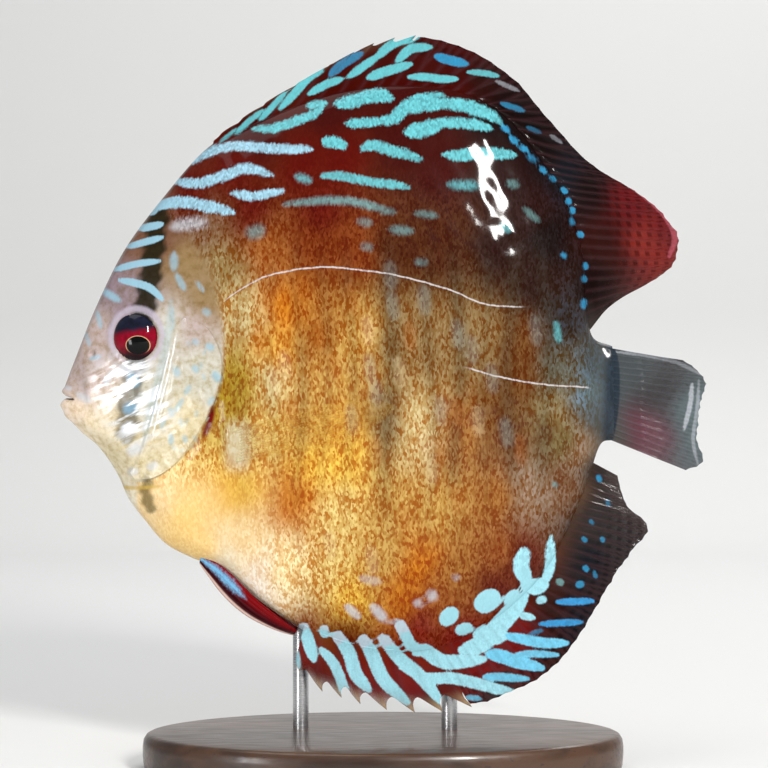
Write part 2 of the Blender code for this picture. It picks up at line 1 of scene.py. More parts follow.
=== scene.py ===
# %% [markdown]
# # A discus fish, modelled life-size on a display stand
# A discus is a fish as tall as it is long and less than a fifth as thick. Everything below is
# worked out in millimetres from one table of body sections, and only the finished mesh is put
# into metres. The fish swims towards -X, the flank of the photo faces -Y, and +Z is up.

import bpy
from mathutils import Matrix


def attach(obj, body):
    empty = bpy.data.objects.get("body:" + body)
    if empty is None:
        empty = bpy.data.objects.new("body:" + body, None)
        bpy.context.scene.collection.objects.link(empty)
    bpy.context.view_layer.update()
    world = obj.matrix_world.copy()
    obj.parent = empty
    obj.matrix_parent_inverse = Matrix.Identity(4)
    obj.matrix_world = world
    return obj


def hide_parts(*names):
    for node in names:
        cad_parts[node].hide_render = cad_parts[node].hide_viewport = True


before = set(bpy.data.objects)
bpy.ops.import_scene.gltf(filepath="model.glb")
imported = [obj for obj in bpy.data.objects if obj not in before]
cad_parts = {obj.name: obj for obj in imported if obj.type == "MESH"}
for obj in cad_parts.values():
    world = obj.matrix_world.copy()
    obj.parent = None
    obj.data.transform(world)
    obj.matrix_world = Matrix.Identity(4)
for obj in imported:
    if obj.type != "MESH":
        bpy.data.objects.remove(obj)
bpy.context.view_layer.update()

# %% Modules and small helpers
import math

import bpy
import numpy as np
from mathutils import Vector

MM = 0.001


def smoothstep(value, low, high):
    """0 below low, 1 above high, and 3s^2 - 2s^3 of the share s between them."""
    part = np.clip((value - low) / (high - low), 0.0, 1.0)
    return part * part * (3.0 - 2.0 * part)


def mix(start, end, part):
    """Straight blend: start where part is 0, end where it is 1."""
    return start + (end - start) * part


def spline(rows, place):
    """Cubic through the rows; row k is met at place k with the slope of its two neighbours."""
    rows = np.asarray(rows, dtype=float)
    place = np.clip(np.asarray(place, dtype=float), 0.0, len(rows) - 1.0)
    start = np.minimum(place.astype(int), len(rows) - 2)
    part = place - start
    part = part.reshape(part.shape + (1,) * (rows.ndim - 1))
    slope = np.gradient(rows, axis=0)
    rise = part * part * (3.0 - 2.0 * part)
    leave = part * (1.0 - part) ** 2
    arrive = part * part * (part - 1.0)
    return (rows[start] * (1.0 - rise) + rows[start + 1] * rise
            + slope[start] * leave + slope[start + 1] * arrive)


def share(rows, fraction):
    """The same curve, read by a fraction from 0 to 1."""
    return spline(rows, np.asarray(fraction, dtype=float) * (len(rows) - 1))


def hill(distance, width):
    """Bell of height 1: exp(-(distance / width)^2)."""
    return np.exp(-(distance / width) ** 2)


def plateau(x, z, middle, reach):
    """Flat-topped oval hill of height 1: exp(-(x / reach_x)^4 - (z / reach_z)^4)."""
    return np.exp(-((x - middle[0]) / reach[0]) ** 4 - ((z - middle[1]) / reach[1]) ** 4)


print("one millimetre is", MM, "of a unit")

# %% [markdown]
# ## The camera
# The photo looks square at the left flank. One pixel there is 140 / 646 of a millimetre at the
# middle plane, so a 100 mm lens on a 36 mm sensor stands 462 mm away. The camera comes first,
# because the markings are placed by the pixels through which it sees them.

# %% Camera numbers
PICTURE = 768
LENS, SENSOR = 100.0, 36.0
LENGTH, LENGTH_PIXELS = 140.0, 646.0
PIXEL = LENGTH / LENGTH_PIXELS
VIEW_CENTRE = np.array([0.2, 83.3])
DISTANCE = PICTURE * PIXEL * LENS / SENSOR
print("camera distance in mm", round(DISTANCE, 1))


def seen(points):
    """Pixel of each point: its distance from the view line times the distance of the middle
    plane over its own distance. Both flanks are read as if they were the photo's flank."""
    near = DISTANCE / (DISTANCE - np.abs(points[..., 1]))
    across = PICTURE / 2 + (points[..., 0] - VIEW_CENTRE[0]) * near / PIXEL
    down = PICTURE / 2 - (points[..., 2] - VIEW_CENTRE[1]) * near / PIXEL
    return across, down


camera_data = bpy.data.cameras.new("camera")
camera_data.lens = LENS
camera_data.sensor_width = SENSOR
camera = bpy.data.objects.new("camera", camera_data)
camera.location = (VIEW_CENTRE[0] * MM, -DISTANCE * MM, VIEW_CENTRE[1] * MM)
camera.rotation_euler = (math.pi / 2, 0.0, 0.0)
bpy.context.scene.collection.objects.link(camera)
bpy.context.scene.camera = camera

# %% [markdown]
# ## The body as a family of sections
# Each station is a line from the belly edge to the back edge that bows towards the tail, as the
# rear edge of the gill cover does. A lens formula gives the thickness along the line. The same
# numbers shape the solids, so the skin lies in their place.

# %% Body stations
# Back x and z, belly x and z, half thickness at the fattest, half thickness of the back rim and
# of the belly rim, and the bow, all in millimetres.
STATIONS = (
    (-69.1, 81.3, -69.4, 79.0, 2.4, 1.4, 1.4, 0.0),
    (-65.9, 90.7, -66.3, 73.8, 4.8, 1.8, 2.4, 1.2),
    (-61.9, 100.6, -62.0, 70.1, 6.9, 2.0, 2.8, 4.0),
    (-56.1, 112.2, -59.0, 66.2, 9.0, 1.9, 3.0, 8.5),
    (-48.3, 122.9, -57.0, 62.7, 10.7, 1.5, 3.1, 13.5),
    (-38.6, 134.0, -55.0, 58.3, 11.9, 0.8, 3.1, 17.3),
    (-30.0, 138.9, -51.5, 53.7, 12.4, 0.7, 2.9, 17.5),
    (-22.0, 142.5, -47.2, 48.8, 12.5, 0.7, 2.6, 16.5),
    (-13.5, 145.6, -41.5, 45.7, 12.4, 0.7, 2.2, 14.5),
    (-5.0, 147.5, -34.7, 43.0, 12.1, 0.7, 1.8, 12.5),
    (4.0, 148.3, -25.8, 35.6, 11.6, 0.7, 1.2, 10.5),
    (13.4, 147.6, -14.0, 28.3, 10.8, 0.7, 0.7, 8.5),
    (21.5, 145.0, -1.0, 24.9, 9.8, 0.7, 0.7, 6.5),
    (28.3, 139.8, 11.5, 25.7, 8.7, 0.7, 0.7, 4.8),
    (34.5, 131.8, 22.5, 31.2, 7.6, 0.7, 0.7, 3.4),
    (38.9, 125.0, 30.2, 37.3, 6.5, 0.7, 0.7, 2.3),
    (41.8, 117.5, 36.0, 44.3, 5.6, 0.7, 0.7, 1.5),
    (43.5, 109.5, 40.6, 53.2, 4.8, 0.7, 0.7, 0.9),
    (43.9, 101.5, 44.2, 62.0, 4.0, 0.7, 0.7, 0.4),
    (45.3, 93.7, 47.0, 70.0, 3.2, 0.9, 0.9, 0.1),
    (49.6, 91.5, 49.8, 71.2, 2.2, 1.2, 1.2, 0.0),
)
TAIL_ROOT = len(STATIONS) - 1.0
BOW_SKEW = 0.65
FULLNESS_HEAD, FULLNESS_TRUNK = 0.6, 0.75
EYE_X, EYE_Z = -52.1, 93.2
EYE_RADIUS, EYE_DEPTH, EYE_SUNK = 5.6, 3.6, 2.0
EYE_OVAL = (0.99, 1.06)
NET_PLACES, NET_HEIGHTS, NET_BATCH = 81, 41, 4000
NEWTON_STEPS, NEWTON_REACH, FLAT = 10, 1e-4, 1e-6
NUDGE = 0.01
print(len(STATIONS), "stations from", STATIONS[0][0], "to", STATIONS[-1][0], "mm")

# %% Points of the body


def body(place, height):
    """x, z and half thickness at a station and a height from 0 (belly) to 1 (back).

    x and z run straight from belly to back, plus bow times sin(pi height^skew). The thickness
    is rim + (fattest - rim) (4 height (1 - height))^fullness.
    """
    place, height = np.broadcast_arrays(np.asarray(place, float), np.asarray(height, float))
    back_x, back_z, belly_x, belly_z, fat, back_rim, belly_rim, bow = np.moveaxis(
        spline(STATIONS, place), -1, 0)
    height = np.clip(height, 0.0, 1.0)
    x = mix(belly_x, back_x, height) + bow * np.sin(np.pi * height ** BOW_SKEW)
    z = mix(belly_z, back_z, height)
    rim = mix(belly_rim, back_rim, height)
    fullness = mix(FULLNESS_HEAD, FULLNESS_TRUNK, smoothstep(place, 3.0, 8.0))
    lens = (4.0 * height * (1.0 - height)) ** fullness
    return x, z, rim + (fat - rim) * lens


def locate(x, z):
    """Station and height of the flank point at x, z: the nearest of a coarse net of points,
    then Newton steps on the two unknowns."""
    x, z = np.broadcast_arrays(np.asarray(x, float), np.asarray(z, float))
    places, heights = np.meshgrid(np.linspace(0.0, TAIL_ROOT, NET_PLACES),
                                  np.linspace(0.0, 1.0, NET_HEIGHTS))
    net_x, net_z, _ = body(places, heights)
    batches = 1 + x.size // NET_BATCH
    nearest = np.concatenate([
        np.argmin((net_x.ravel() - px[:, None]) ** 2 + (net_z.ravel() - pz[:, None]) ** 2, axis=1)
        for px, pz in zip(np.array_split(x.ravel(), batches), np.array_split(z.ravel(), batches))])
    place = places.ravel()[nearest].reshape(x.shape)
    height = heights.ravel()[nearest].reshape(x.shape)
    step = NEWTON_REACH
    for _ in range(NEWTON_STEPS):
        here_x, here_z, _ = body(place, height)
        along_x, along_z, _ = body(place + step, height)
        up_x, up_z, _ = body(place, height + step)
        a, b = (along_x - here_x) / step, (up_x - here_x) / step
        c, d = (along_z - here_z) / step, (up_z - here_z) / step
        det = a * d - b * c
        det = np.where(np.abs(det) < FLAT, FLAT, det)
        off_x, off_z = x - here_x, z - here_z
        place = np.clip(place + (d * off_x - b * off_z) / det, 0.0, TAIL_ROOT - 2 * step)
        height = np.clip(height + (a * off_z - c * off_x) / det, 0.0, 1.0 - 2 * step)
    return place, height


def flank(x, z):
    """Half thickness of the body at x, z."""
    return body(*locate(x, z))[2]


def edge(place, height, off):
    """Point of the back edge (height 1) or belly edge (height 0), moved outwards by off."""
    x, z, _ = body(place, height)
    ahead_x, ahead_z, _ = body(place + NUDGE, height)
    behind_x, behind_z, _ = body(place - NUDGE, height)
    run_x, run_z = ahead_x - behind_x, ahead_z - behind_z
    length = np.hypot(run_x, run_z)
    turn = 1.0 if height > 0.5 else -1.0
    return x - turn * run_z / length * off, z + turn * run_x / length * off


print("fattest half thickness in mm", round(float(body(np.linspace(0, 20, 99), 0.5)[2].max()), 1))

# %% [markdown]
# ## Markings as distances
# The turquoise of a discus is a set of wavy strokes. Painting them on an image would need an
# image; instead each stroke is a short path with a half width, and every vertex stores how deep
# it lies inside the nearest stroke. A material can cut that smooth number at zero, which gives
# an edge far sharper than the mesh. Paths are in pixels of the photo, as the camera sees them.

# %% Pigments
PIGMENTS = {
    "chalk": (0.93, 0.87, 0.76), "cream": (0.95, 0.83, 0.58), "butter": (0.95, 0.80, 0.48),
    "honey": (0.88, 0.68, 0.25), "straw": (0.84, 0.70, 0.42), "amber": (0.78, 0.55, 0.22),
    "orange": (0.73, 0.41, 0.05), "ochre": (0.72, 0.54, 0.27), "tan": (0.76, 0.65, 0.45),
    "khaki": (0.55, 0.46, 0.30), "mustard": (0.64, 0.49, 0.08), "bronze": (0.52, 0.40, 0.25),
    "cinnamon": (0.59, 0.37, 0.15), "rust": (0.58, 0.33, 0.14), "russet": (0.44, 0.18, 0.035),
    "bark": (0.38, 0.26, 0.14), "brown": (0.27, 0.11, 0.02), "ash": (0.34, 0.32, 0.27),
    "dusk": (0.56, 0.45, 0.37), "maroon": (0.34, 0.035, 0.008), "wine": (0.24, 0.03, 0.018),
    "plum": (0.15, 0.05, 0.04), "soot": (0.07, 0.03, 0.035), "night": (0.07, 0.09, 0.13),
    "smoke": (0.17, 0.16, 0.18), "steel": (0.26, 0.29, 0.32), "sky": (0.36, 0.43, 0.48),
    "umber": (0.45, 0.32, 0.24), "ruby": (0.45, 0.05, 0.07), "mist": (0.70, 0.64, 0.60),
    "pearl": (0.77, 0.77, 0.69), "bone": (0.84, 0.80, 0.63), "ivory": (0.90, 0.86, 0.72),
    "clay": (0.54, 0.48, 0.49), "olive": (0.12, 0.11, 0.04), "moss": (0.38, 0.33, 0.14),
    "lobe": (0.40, 0.05, 0.075), "ember": (0.53, 0.15, 0.12), "shell": (0.80, 0.76, 0.68),
    "horn": (0.78, 0.68, 0.52), "dusky": (0.40, 0.21, 0.29), "iron": (0.28, 0.31, 0.35),
    "walnut": (0.40, 0.23, 0.08),
}
TURQUOISE, CYAN, BLUE = (0.38, 0.70, 0.73), (0.62, 0.84, 0.89), (0.20, 0.53, 0.69)
SEA, AZURE, MILK = (0.24, 0.58, 0.80), (0.45, 0.77, 0.89), (0.73, 0.81, 0.86)
POWDER = (0.57, 0.73, 0.80)
TEAL, FROST, SLATE = (0.42, 0.58, 0.58), (0.77, 0.79, 0.82), (0.50, 0.67, 0.78)
# The stem colour is painted shade at the root of the tail fin.
STEM_ROOT_SHADE, LOBE_RIM, GILL_RED = (0.12, 0.17, 0.22), (0.74, 0.36, 0.42), (0.42, 0.02, 0.01)
THROAT_LINE, LILAC = (0.80, 0.66, 0.30), (0.72, 0.68, 0.74)
CLOUD_GREY, CLOUD_CREAM, CLOUD_ORANGE = (0.54, 0.58, 0.56), (0.86, 0.77, 0.60), (0.66, 0.33, 0.04)


def linear(colour):
    """Light value of a colour as seen on a screen, by the sRGB curve."""
    value = np.asarray(colour, dtype=float)
    return np.where(value <= 0.04045, value / 12.92, ((value + 0.055) / 1.055) ** 2.4)


print(len(PIGMENTS), "pigments")

# %% Where each pigment lies on flank and fins
FLANK_ZONES = (
    ("khaki", 215, 270), ("umber", 205, 235), ("tan", 240, 312), ("mustard", 238, 385),
    ("mustard", 243, 405), ("orange", 284, 312), ("amber", 280, 345), ("tan", 268, 386),
    ("cinnamon", 320, 332), ("ochre", 360, 340), ("bronze", 400, 340), ("bronze", 440, 342),
    ("bronze", 480, 342), ("walnut", 520, 350), ("walnut", 514, 392), ("ochre", 320, 400),
    ("ash", 560, 370), ("straw", 260, 430), ("ochre", 300, 430), ("amber", 340, 432),
    ("bronze", 382, 420), ("honey", 345, 458), ("tan", 420, 430), ("cinnamon", 460, 430),
    ("walnut", 510, 430), ("bark", 552, 430), ("honey", 238, 490), ("mustard", 231, 392),
    ("honey", 312, 462), ("orange", 296, 498), ("straw", 340, 512), ("ochre", 390, 510),
    ("ochre", 440, 510), ("cinnamon", 490, 500), ("dusk", 530, 490), ("umber", 562, 480),
    ("cream", 282, 570), ("straw", 330, 570), ("ochre", 380, 568), ("orange", 420, 570),
    ("cinnamon", 460, 570), ("rust", 500, 555), ("rust", 442, 598), ("orange", 400, 600),
    ("honey", 350, 600), ("rust", 270, 260), ("russet", 310, 250), ("russet", 350, 250),
    ("brown", 400, 250), ("brown", 440, 250), ("plum", 500, 250), ("plum", 540, 280),
    ("smoke", 562, 322), ("maroon", 232, 168), ("maroon", 300, 165), ("maroon", 340, 160),
    ("wine", 400, 142), ("wine", 440, 165), ("plum", 500, 175), ("plum", 530, 205),
    ("soot", 552, 240), ("maroon", 190, 195), ("maroon", 250, 210), ("maroon", 320, 212),
    ("wine", 250, 132), ("wine", 330, 112), ("wine", 400, 92), ("wine", 450, 92),
    ("soot", 500, 110), ("soot", 540, 150), ("cream", 150, 505), ("butter", 190, 522),
    ("butter", 205, 548), ("cream", 240, 542), ("chalk", 258, 582), ("ivory", 225, 565),
    ("maroon", 500, 585), ("maroon", 520, 560), ("ruby", 460, 640), ("ruby", 420, 625),
    ("maroon", 350, 640), ("sky", 590, 392), ("steel", 600, 372), ("steel", 600, 425),
    ("khaki", 556, 415), ("dusk", 578, 450), ("moss", 560, 440), ("ruby", 480, 668),
    ("ruby", 420, 690), ("ruby", 350, 668), ("ruby", 310, 650), ("maroon", 312, 672),
    ("maroon", 338, 690), ("ruby", 370, 700), ("ruby", 395, 665), ("maroon", 440, 690),
    ("ruby", 520, 640), ("smoke", 430, 712), ("smoke", 500, 697), ("plum", 545, 655),
    ("night", 590, 560), ("night", 575, 620), ("smoke", 600, 510), ("smoke", 622, 545),
    ("night", 596, 470), ("plum", 545, 610), ("wine", 340, 70), ("wine", 400, 50),
    ("wine", 460, 65), ("wine", 250, 125), ("plum", 480, 85), ("soot", 530, 120),
    ("night", 565, 175), ("soot", 590, 190), ("lobe", 632, 205), ("ember", 650, 240),
    ("lobe", 664, 222), ("plum", 612, 240), ("soot", 595, 285), ("iron", 640, 368),
    ("iron", 612, 388), ("smoke", 655, 395), ("dusky", 645, 430), ("sky", 692, 420),
)
FACE_ZONES = (
    ("mist", 92, 330), ("clay", 112, 285), ("umber", 135, 238), ("umber", 165, 215),
    ("mist", 80, 385), ("chalk", 72, 412), ("ivory", 95, 432), ("mist", 90, 362),
    ("bone", 118, 445), ("pearl", 150, 400), ("pearl", 172, 330), ("clay", 132, 308),
    ("mist", 190, 328), ("pearl", 200, 370), ("bone", 185, 420), ("pearl", 212, 385),
    ("ivory", 140, 490), ("khaki", 185, 262), ("khaki", 205, 300), ("maroon", 195, 195),
    ("umber", 160, 240), ("bone", 150, 465),
)


def blend_zones(zones, across, down, softness, upright=1.0):
    """Mean of the zones' colours, each weighted by 1 / (distance^2 + softness^2)^2, where a
    height counts only by the share upright, so that the zones merge into upright bars."""
    total = np.zeros(across.shape)
    colour = np.zeros(across.shape + (3,))
    for name, at_x, at_y in zones:
        weight = 1.0 / ((across - at_x) ** 2 + (upright * (down - at_y)) ** 2
                        + softness ** 2) ** 2
        total += weight
        colour += weight[..., None] * linear(PIGMENTS[name])
    return colour / total[..., None]


print(len(FLANK_ZONES), "places on the flank and fins,", len(FACE_ZONES), "on the face")

# %% Strokes of the back and the dorsal fin
# Each stroke: glaze, strength, half width in pixels, path.
BACK_STROKES = (
    (POWDER, 1.0, 5.0, ((192, 162), (215, 150), (237, 146), (266, 148), (293, 149), (311, 149))),
    (POWDER, 1.0, 5.5, ((172, 181), (200, 183), (226, 175), (246, 168), (271, 175))),
    (POWDER, 1.0, 5.0, ((232, 193), (254, 196), (282, 191))),
    (POWDER, 1.0, 6.0, ((152, 207), (180, 202), (206, 206), (233, 212))),
    (TURQUOISE, 1.0, 4.8, ((253, 129), (275, 128), (296, 121), (314, 114), (324, 104))),
    (TURQUOISE, 1.0, 4.5, ((308, 106), (326, 103))),
    (TURQUOISE, 1.0, 7.0, ((337, 104), (352, 101), (378, 95), (391, 99))),
    (TURQUOISE, 1.0, 5.0, ((347, 124), (361, 123), (378, 122))),
    (TURQUOISE, 1.0, 6.5, ((379, 122), (394, 118), (405, 107), (420, 100), (440, 95))),
    (TURQUOISE, 1.0, 8.5, ((410, 108), (424, 103), (440, 104))),
    (TURQUOISE, 1.0, 6.5, ((436, 101), (452, 104), (470, 107), (484, 112), (499, 121))),
    (TURQUOISE, 1.0, 8.0, ((407, 132), (424, 129), (442, 123))),
    (TURQUOISE, 1.0, 5.5, ((436, 123), (464, 123), (490, 128))),
    (TURQUOISE, 1.0, 6.0, ((324, 142), (334, 142), (345, 146))),
    (TURQUOISE, 0.9, 5.5, ((361, 149), (374, 145), (392, 151), (406, 154), (421, 160))),
    (TURQUOISE, 0.95, 6.2, ((445, 155), (463, 155), (488, 153), (514, 155))),
    (TURQUOISE, 0.85, 4.6, ((321, 176), (341, 176), (371, 182), (390, 184), (409, 188))),
    (TURQUOISE, 0.65, 4.2, ((296, 176), (311, 181))),
    (TEAL, 0.8, 4.2, ((284, 204), (333, 200), (364, 204), (394, 213))),
    (TURQUOISE, 0.6, 5.0, ((449, 185), (463, 185), (478, 186))),
    (TEAL, 0.55, 4.5, ((508, 183), (517, 185))),
    (TEAL, 0.55, 4.0, ((380, 211), (395, 211))), (TEAL, 0.5, 4.0, ((414, 213), (437, 216))),
    (TEAL, 0.55, 4.5, ((390, 229), (412, 231))), (TEAL, 0.45, 4.5, ((358, 221), (372, 223))),
    (TEAL, 0.4, 4.5, ((362, 246), (372, 248))), (TEAL, 0.4, 4.5, ((416, 262), (426, 263))),
    (TURQUOISE, 0.6, 5.0, ((502, 227), (509, 229))), (TEAL, 0.5, 3.5, ((524, 208), (539, 222))),
    (FROST, 0.55, 6.5, ((172, 227), (188, 224), (205, 223))),
    (TEAL, 0.55, 7.0, ((250, 234), (262, 230))),
    (POWDER, 0.95, 4.0, ((139, 229), (163, 224))), (POWDER, 0.95, 3.6, ((127, 247), (163, 237))),
    (POWDER, 0.95, 3.6, ((114, 270), (136, 264), (160, 261))),
    (POWDER, 0.95, 4.0, ((119, 280), (135, 283), (150, 288), (163, 300))),
    (POWDER, 0.8, 4.0, ((102, 290), (120, 301))), (POWDER, 0.9, 3.0, ((150, 214), (158, 209))),
)
DORSAL_STROKES = (
    (TURQUOISE, 0.8, 2.0, ((220, 142), (236, 129))),
    (TURQUOISE, 0.9, 3.0, ((236, 134), (247, 123), (263, 110))),
    (TURQUOISE, 0.95, 3.2, ((260, 120), (272, 107), (286, 92))),
    (TURQUOISE, 1.0, 4.4, ((280, 109), (295, 93), (309, 77), (323, 70))),
    (TURQUOISE, 1.0, 4.2, ((309, 94), (327, 84), (342, 79))),
    (BLUE, 0.7, 4.8, ((330, 75), (344, 63), (362, 53))),
    (TURQUOISE, 1.0, 4.2, ((348, 77), (364, 66), (378, 56))),
    (TURQUOISE, 1.0, 4.8, ((376, 58), (394, 43), (418, 37))),
    (TURQUOISE, 1.0, 5.0, ((368, 78), (384, 72), (411, 64))),
    (TURQUOISE, 1.0, 4.8, ((397, 61), (411, 49), (431, 47))),
    (BLUE, 1.0, 5.0, ((436, 56), (449, 60), (467, 64))),
    (TURQUOISE, 1.0, 4.2, ((409, 77), (426, 77), (441, 79), (457, 79))),
    (TURQUOISE, 0.9, 3.2, ((468, 72), (483, 73), (498, 76))),
    (FROST, 0.35, 2.4, ((496, 81), (519, 91))), (BLUE, 0.65, 3.0, ((501, 103), (524, 111))),
    (BLUE, 0.35, 2.4, ((527, 127), (541, 133))), (FROST, 0.3, 2.2, ((550, 135), (562, 143))),
    (BLUE, 0.95, 3.4, ((503, 127), (508, 131))), (BLUE, 0.95, 4.0, ((511, 138), (516, 141))),
    (BLUE, 0.95, 3.2, ((520, 147), (528, 150))), (BLUE, 0.6, 3.4, ((528, 157), (536, 160))),
    (BLUE, 0.95, 3.2, ((540, 168), (545, 172))), (BLUE, 0.8, 2.8, ((551, 177), (555, 181))),
    (BLUE, 0.95, 3.2, ((562, 189), (566, 192))), (BLUE, 0.9, 3.2, ((568, 199), (569, 203))),
    (BLUE, 0.9, 3.0, ((572, 208), (573, 213))), (BLUE, 0.8, 2.8, ((571, 219), (573, 224))),
    (BLUE, 0.95, 3.2, ((579, 233), (582, 236))), (BLUE, 0.8, 2.8, ((563, 254), (565, 257))),
    (BLUE, 0.9, 3.0, ((585, 264), (586, 268))), (BLUE, 0.8, 2.8, ((584, 277), (585, 281))),
    (BLUE, 0.8, 3.0, ((584, 300), (584, 307))), (TURQUOISE, 0.6, 3.5, ((556, 322), (559, 342))),
)
print(len(BACK_STROKES) + len(DORSAL_STROKES), "strokes above the lateral line")

# %% Strokes of the belly and the anal fin
ANAL_STROKES = (
    (CYAN, 1.0, 6.5, ((303, 627), (308, 640), (314, 660))),
    (CYAN, 0.9, 5.2, ((324, 630), (325, 634))),
    (CYAN, 0.95, 5.5, ((321, 649), (334, 664), (343, 686), (347, 700))),
    (CYAN, 1.0, 7.0, ((338, 636), (349, 653), (356, 674), (369, 690))),
    (CYAN, 1.0, 7.2, ((364, 640), (373, 656), (384, 680), (408, 703))),
    (CYAN, 1.0, 6.8, ((384, 640), (399, 658), (419, 675), (441, 702))),
    (CYAN, 0.95, 6.0, ((399, 623), (408, 640), (411, 648))),
    (CYAN, 1.0, 7.5, ((415, 653), (424, 650), (434, 657), (446, 662), (466, 661), (484, 659))),
    (CYAN, 1.0, 9.5, ((462, 650), (481, 644), (495, 630), (512, 611), (525, 595))),
    (CYAN, 1.0, 6.5, ((494, 640), (505, 634))), (CYAN, 1.0, 6.0, ((476, 637), (486, 628))),
    (CYAN, 1.0, 5.5, ((506, 602), (517, 592))),
    (AZURE, 1.0, 7.0, ((488, 654), (500, 656), (515, 661), (542, 668))),
    (CYAN, 1.0, 6.0, ((401, 667), (427, 678), (450, 678), (475, 683), (497, 689), (513, 692))),
    (AZURE, 0.95, 4.4, ((484, 677), (500, 677), (528, 679))),
    (AZURE, 0.8, 3.0, ((466, 697), (481, 699))),
    (AZURE, 1.0, 5.5, ((503, 635), (527, 640), (545, 643), (567, 643))),
    (AZURE, 0.95, 3.8, ((509, 660), (526, 654), (558, 655))),
    (BLUE, 0.6, 2.4, ((529, 634), (543, 630))),
    (SEA, 0.95, 3.6, ((540, 624), (560, 623), (582, 622))), (SEA, 0.95, 3.8, ((557, 602), (593, 601))),
    (CYAN, 0.95, 4.0, ((520, 615), (534, 618))), (CYAN, 0.9, 4.0, ((538, 601), (545, 599))),
    (TEAL, 0.8, 3.6, ((558, 581), (562, 583))), (BLUE, 0.95, 3.8, ((578, 585), (582, 584))),
    (BLUE, 0.9, 3.2, ((585, 567), (587, 570))), (BLUE, 0.7, 2.4, ((594, 571), (596, 578))),
    (CYAN, 1.0, 8.2, ((525, 550), (521, 566), (527, 582))),
    (CYAN, 1.0, 8.0, ((524, 584), (535, 587), (545, 583))),
    (CYAN, 1.0, 5.4, ((545, 582), (550, 566), (551, 538))),
    # Painted shade where the tail fin leaves the stem.
    (STEM_ROOT_SHADE, 0.8, 8.0, ((611, 346), (612, 392), (607, 446))),
    (LOBE_RIM, 0.55, 3.6, ((628, 184), (648, 198), (666, 216), (675, 237), (669, 257))),
    # Painted highlights along the curled rim of the tail fin.
    (FROST, 0.7, 2.6, ((692, 384), (690, 405), (684, 430))),
    (FROST, 0.45, 2.0, ((699, 380), (697, 410), (693, 440), (698, 464))),
    (FROST, 0.35, 2.2, ((616, 352), (645, 355), (676, 362), (700, 374))),
    (CYAN, 1.0, 11.0, ((481, 605), (494, 597))), (CYAN, 1.0, 8.5, ((445, 621), (453, 612))),
    (CYAN, 1.0, 6.2, ((458, 631), (470, 627))), (FROST, 0.7, 5.5, ((431, 593), (433, 598))),
    (FROST, 0.6, 4.5, ((416, 601), (420, 606))), (FROST, 0.75, 4.6, ((346, 605), (359, 618))),
    (FROST, 0.8, 5.2, ((372, 605), (386, 621))), (FROST, 0.35, 4.0, ((454, 576), (458, 579))),
    (FROST, 0.35, 5.0, ((360, 578), (380, 582))), (CYAN, 0.8, 3.0, ((600, 456), (602, 461))),
    (BLUE, 0.8, 3.0, ((598, 476), (600, 481))), (TEAL, 0.7, 3.0, ((554, 483), (557, 486))),
    (BLUE, 0.8, 2.6, ((602, 538), (603, 541))), (BLUE, 0.7, 2.6, ((583, 538), (586, 541))),
    (BLUE, 0.5, 2.2, ((590, 520), (593, 524))), (BLUE, 0.5, 2.2, ((607, 500), (609, 506))),
    (CYAN, 0.8, 3.0, ((294, 640), (297, 656), (299, 668))),
    (MILK, 0.95, 5.4, ((303, 624), (305, 635))), (MILK, 0.95, 4.6, ((323, 627), (326, 633))),
    (MILK, 0.95, 6.0, ((336, 633), (343, 644))), (MILK, 0.95, 6.2, ((362, 637), (368, 648))),
    (MILK, 0.95, 6.0, ((382, 636), (390, 648))), (MILK, 0.95, 6.0, ((398, 621), (406, 636))),
)
print(len(ANAL_STROKES), "strokes round the belly and the anal fin")

# %% Pale marks of the face
FACE_STROKES = (
    (SLATE, 0.75, 6.0, ((131, 376), (136, 384))), (SLATE, 0.75, 6.0, ((126, 410), (134, 406))),
    (GILL_RED, 1.0, 3.6, ((213, 406), (210, 421), (203, 437))),
    (FROST, 0.7, 5.5, ((124, 429), (131, 425))), (FROST, 0.7, 6.0, ((129, 452), (140, 447))),
    (FROST, 0.6, 4.5, ((130, 472), (136, 471))), (FROST, 0.6, 4.5, ((149, 468), (156, 464))),
    (POWDER, 0.6, 4.5, ((174, 253), (174, 270))), (POWDER, 0.6, 3.6, ((176, 274), (185, 290))),
    (POWDER, 0.5, 3.4, ((171, 304), (172, 330))), (POWDER, 0.5, 4.0, ((204, 310), (209, 314))),
    (POWDER, 0.5, 3.4, ((194, 341), (197, 343))), (POWDER, 0.7, 4.0, ((208, 346), (212, 348))),
    (POWDER, 0.55, 4.0, ((175, 368), (178, 375))), (POWDER, 0.6, 3.6, ((194, 367), (197, 371))),
    (POWDER, 0.7, 4.4, ((214, 373), (219, 380))), (POWDER, 0.5, 3.4, ((209, 404), (214, 398))),
    (POWDER, 0.5, 3.0, ((185, 394), (190, 386))), (POWDER, 0.55, 3.0, ((175, 412), (183, 399))),
    (POWDER, 0.5, 3.4, ((170, 408), (172, 416))), (POWDER, 0.6, 3.2, ((171, 434), (171, 444))),
    (POWDER, 0.5, 3.0, ((184, 436), (186, 442))), (POWDER, 0.5, 2.8, ((161, 428), (165, 418))),
    (POWDER, 0.6, 2.8, ((97, 311), (101, 328))), (POWDER, 0.5, 2.4, ((85, 332), (90, 346))),
    (POWDER, 0.6, 2.6, ((90, 359), (101, 356))), (FROST, 0.7, 3.4, ((104, 384), (114, 370))),
    (FROST, 0.6, 4.2, ((77, 394), (90, 401))), (FROST, 0.6, 2.6, ((65, 387), (71, 389))),
    (POWDER, 0.5, 2.6, ((196, 281), (204, 292))), (POWDER, 0.5, 2.6, ((166, 352), (161, 372))),
    (POWDER, 0.3, 4.5, ((171, 300), (168, 335), (160, 372), (149, 418), (143, 446))),
    (THROAT_LINE, 0.7, 2.2, ((120, 487), (140, 488), (160, 486))),
)
